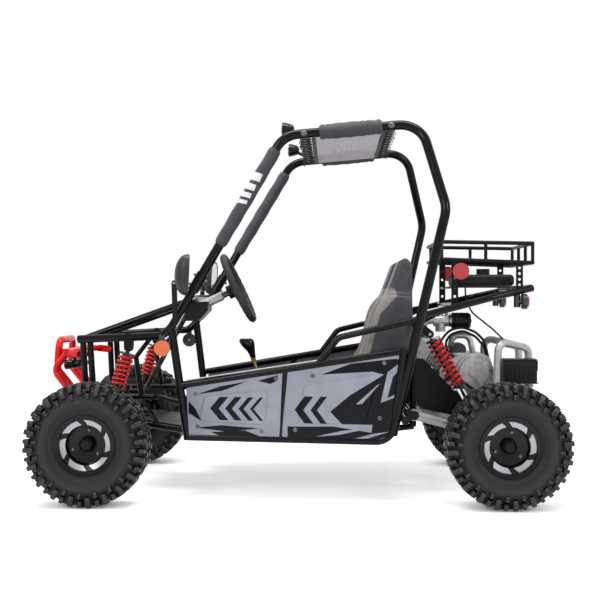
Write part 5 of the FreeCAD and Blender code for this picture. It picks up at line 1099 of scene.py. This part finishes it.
def mirror(side):
    """A mirror turned in towards the driver: a domed shell, a lip round the glass and a flat arm."""
    name = SIDES[side]
    ahead = Vector((math.cos(MIRROR_YAW), side * math.sin(MIRROR_YAW), 0.05)).normalized()
    across = UP.cross(ahead).normalized()
    rise = ahead.cross(across)
    middle = Vector((0.366, 0.393 * side, 0.762))
    corners = 56

    def blunt_ring(along, share):
        """A ring between an oval and a rectangle, at a distance ahead of the glass."""
        points = []
        for i in range(corners):
            angle = math.tau * i / corners
            c, s = math.cos(angle), math.sin(angle)
            reach = share * (abs(c) ** 3 + abs(s) ** 3) ** (-1 / 3)
            points.append(middle + ahead * along + rise * (MIRROR_HALF_HEIGHT * reach * c)
                          + across * (MIRROR_HALF_WIDTH * reach * s))
        return points

    mesh = bmesh.new()
    skin(mesh, [blunt_ring(*ring) for ring in MIRROR_SHELL])
    shell = piece(f"mirror_shell_{name}", mesh, "shell", "chassis", 50)
    mesh = bmesh.new()
    for ring in MIRROR_GLASS:
        mesh.faces.new([mesh.verts.new(spot) for spot in blunt_ring(*ring)])
    piece(f"mirror_glass_{name}", mesh, "mirror", "chassis")
    outward = LEFT * side
    root = on_side(at_height(POST_HEAD, ROOF_FRONT, 0.612), side)
    top = Vector((0.414, 0.392 * side, 0.735))
    mesh = bmesh.new()
    flat_bar(mesh, top, root + outward * 0.016, 0.009, 0.006)
    add_rod(mesh, root + outward * 0.014, root + outward * 0.020, 0.010, 24)
    add_rod(mesh, top - outward * 0.004, Vector((0.392, 0.394 * side, 0.742)), 0.007, 20)
    arm = piece(f"mirror_arm_{name}", mesh, "satin", "chassis")
    for item in (shell, arm):
        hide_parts("mirrors")
    mesh = bmesh.new()
    add_hexagon(mesh, top + outward * 0.003, outward, 0.006, 0.005)
    piece(f"mirror_bolt_{name}", mesh, "zinc", "chassis")


mirror(1)
mirror(-1)


# Engine, air filter, battery box and mounts: bolts, clamp, rings and ribs.

CLUTCH_COVER = Vector((-0.626, 0.102, 0.418))
COVER_BOLT_CIRCLE = 0.0585
CASE_BOLTS = ((-0.684, 0.366), (-0.684, 0.452), (-0.650, 0.476), (-0.514, 0.364), (-0.520, 0.440))
DAMPER_BOLTS = ((-0.457, 0.558), (-0.622, 0.262))


def engine_fittings():
    """Flange bolts round the covers, and the clamp between filter and carburettor."""
    mesh = bmesh.new()
    for i in range(7):
        angle = math.radians(20 + 360 * i / 7)
        spot = CLUTCH_COVER + Vector((math.cos(angle), 0, math.sin(angle))) * COVER_BOLT_CIRCLE
        add_hexagon(mesh, spot, LEFT, 0.0050, 0.008)
    for station, height in CASE_BOLTS:
        add_hexagon(mesh, Vector((station, 0.090, height)), LEFT, 0.005, 0.006)
    piece("engine_bolts", mesh, "zinc", "chassis")
    mesh = bmesh.new()
    spun(mesh, [(0.0210, 0), (0.0224, 0), (0.0224, 0.009), (0.0210, 0.009)], 48,
         along_axis(Vector((-0.547, 0.020, 0.600)), -FORWARD))
    add_block(mesh, (-0.556, 0.010, 0.6215), (-0.547, 0.030, 0.6275))
    piece("filter_clamp", mesh, "zinc", "chassis")


def filter_rings():
    """Moulded rings round the air filter."""
    low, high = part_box("air_filter")
    middle = (low + high) / 2
    radius = min(high.y - low.y, high.z - low.z) / 2
    inside, outside = radius - 0.0008, radius + 0.0007
    mesh = bmesh.new()
    for share in (0.14, 0.30, 0.46, 0.62, 0.78):
        place = along_axis(Vector((low.x + (high.x - low.x) * share, middle.y, middle.z)), FORWARD)
        spun(mesh, [(inside, 0), (outside, 0.0006), (outside, 0.0026), (inside, 0.0032)], 48, place)
    piece("filter_rings", mesh, "rubber", "chassis", 50)


def battery_trim():
    """The lip of the battery box's lid, the ribs on its outer side and its foot."""
    low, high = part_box("battery_box")
    lid = low.z + (high.z - low.z) * 0.80
    proud = 0.0008
    mesh = bmesh.new()
    add_block(mesh, (low.x - proud, low.y - proud, lid), (high.x + proud, high.y + proud, lid + 0.0045))
    for i in range(7):
        station = low.x + (high.x - low.x) * (0.12 + 0.76 * i / 6)
        add_block(mesh, (station - 0.0016, high.y - 0.001, low.z + 0.008),
                  (station + 0.0016, high.y + 0.0009, lid - 0.006))
    add_block(mesh, (low.x - 0.0010, low.y - proud, low.z),
              (high.x + 0.0010, high.y + 0.0010, low.z + 0.004))
    trim = piece("battery_trim", mesh, "polished", "chassis")
    bevel(trim, 0.5 * MM, 1)


def mount_bolts():
    """Bolts of the rear dampers and of the front reflectors."""
    mesh = bmesh.new()
    for side in SIDES:
        outward = LEFT * side
        for station, height in DAMPER_BOLTS:
            add_hexagon(mesh, Vector((station, side * 0.236, height)), outward, 0.0075, 0.008)
        add_hexagon(mesh, Vector((0.463, side * 0.3365, 0.513)), -outward, 0.0055, 0.005)
    piece("mount_bolts", mesh, "zinc", "chassis")


engine_fittings()
filter_rings()
battery_trim()
mount_bolts()


# Floor, light and camera.

FLOOR_HEIGHT = -0.0006
FLOOR_REACH = 14
WHEEL_TRACK = 0.455
# Half sizes, forward and sideways, of the painted shadows round the tyres' contact patches.
PAINTED_SHADOW_REACH = {"X": 0.17, "Y": 0.15}


def looked_at(tree):
    """1 on the rays of the camera, gloss and glass, and 0 on the rays that carry light."""
    rays = add(tree, "LightPath").outputs
    return calculated("MAXIMUM", rays["Is Camera Ray"], rays["Is Glossy Ray"], rays["Is Transmission Ray"])


def studio_floor():
    """A pale floor that the camera sees as white outside the shadows, with its glow dimmed close to the tyres
    into painted shadows.
    """
    material, shader, where = new_material("pale_studio_floor", 0.9)
    shader.inputs["Base Color"].default_value = colour("#E6E6E6")
    parts = parts_of(where)
    glows_and_painted_shadows = []
    for station in (FRONT_AXLE, -FRONT_AXLE):
        for side in SIDES:
            away = length_of(*[times(calculated("SUBTRACT", parts[axis], middle), 1 / PAINTED_SHADOW_REACH[axis])
                               for axis, middle in (("X", station), ("Y", side * WHEEL_TRACK))])
            # Towards each tyre's contact patch the glow falls from 0.6 to 0.12: a painted shadow.
            glows_and_painted_shadows.append(ranged(away, 0.12, 0.6, 0.35, 1.0))
    glow_and_painted_shadow = calculated("MINIMUM", *glows_and_painted_shadows)
    linked(times(looked_at(material.node_tree), glow_and_painted_shadow), shader, "Emission Strength")
    shader.inputs["Emission Color"].default_value = (1, 1, 1, 1)
    mesh = bmesh.new()
    mesh.faces.new([mesh.verts.new((x * FLOOR_REACH, y * FLOOR_REACH, FLOOR_HEIGHT))
                    for x, y in ((-1, -1), (1, -1), (1, 1), (-1, 1))])
    data = bpy.data.meshes.new("studio_floor")
    mesh.to_mesh(data)
    mesh.free()
    floor = new_object("studio_floor", data)
    floor.data.materials.append(material)


def studio_air():
    """Soft even light, white where the camera, gloss and glass look past the floor."""
    world = bpy.data.worlds.new("studio")
    bpy.context.scene.world = world
    world.use_nodes = True
    background = world.node_tree.nodes["Background"]
    linked(ranged(looked_at(world.node_tree), 0.4, 1.0, 0, 1), background, "Strength")
    background.inputs["Color"].default_value = (1, 1, 1, 1)


def softbox(name, spot, target, size, power):
    lamp = bpy.data.lights.new(name, "AREA")
    lamp.shape = "RECTANGLE"
    lamp.size, lamp.size_y = size
    lamp.energy = power
    item = new_object(name, lamp)
    item.location = spot
    item.rotation_euler = (Vector(target) - Vector(spot)).to_track_quat("-Z", "Y").to_euler()


def camera():
    """The photograph's view: square on to the left side, at about the height of the steering wheel."""
    yaw, pitch = math.radians(1.833), math.radians(0.243)
    ahead = Vector((math.sin(yaw) * math.cos(pitch), -math.cos(yaw) * math.cos(pitch), -math.sin(pitch)))
    picture_width, focal_length = 600, 1062.9
    data = bpy.data.cameras.new("camera")
    data.sensor_width = 36
    data.lens = data.sensor_width * focal_length / picture_width
    item = new_object("camera", data)
    item.location = (-0.123, 3.948, 0.693)
    item.rotation_euler = ahead.to_track_quat("-Z", "Y").to_euler()
    bpy.context.scene.camera = item


studio_floor()
studio_air()
softbox("top_light", (0.2, 0.6, 4.0), (0, 0, 0.4), (3.0, 1.2), 150)
softbox("key_light", (2.6, 4.2, 2.8), (0, 0, 0.5), (0.9, 0.9), 80)
softbox("rim_light", (-3.2, 3.0, 2.4), (0, 0, 0.6), (0.8, 1.2), 55)
camera()
bpy.context.scene.view_settings.view_transform = "Standard"
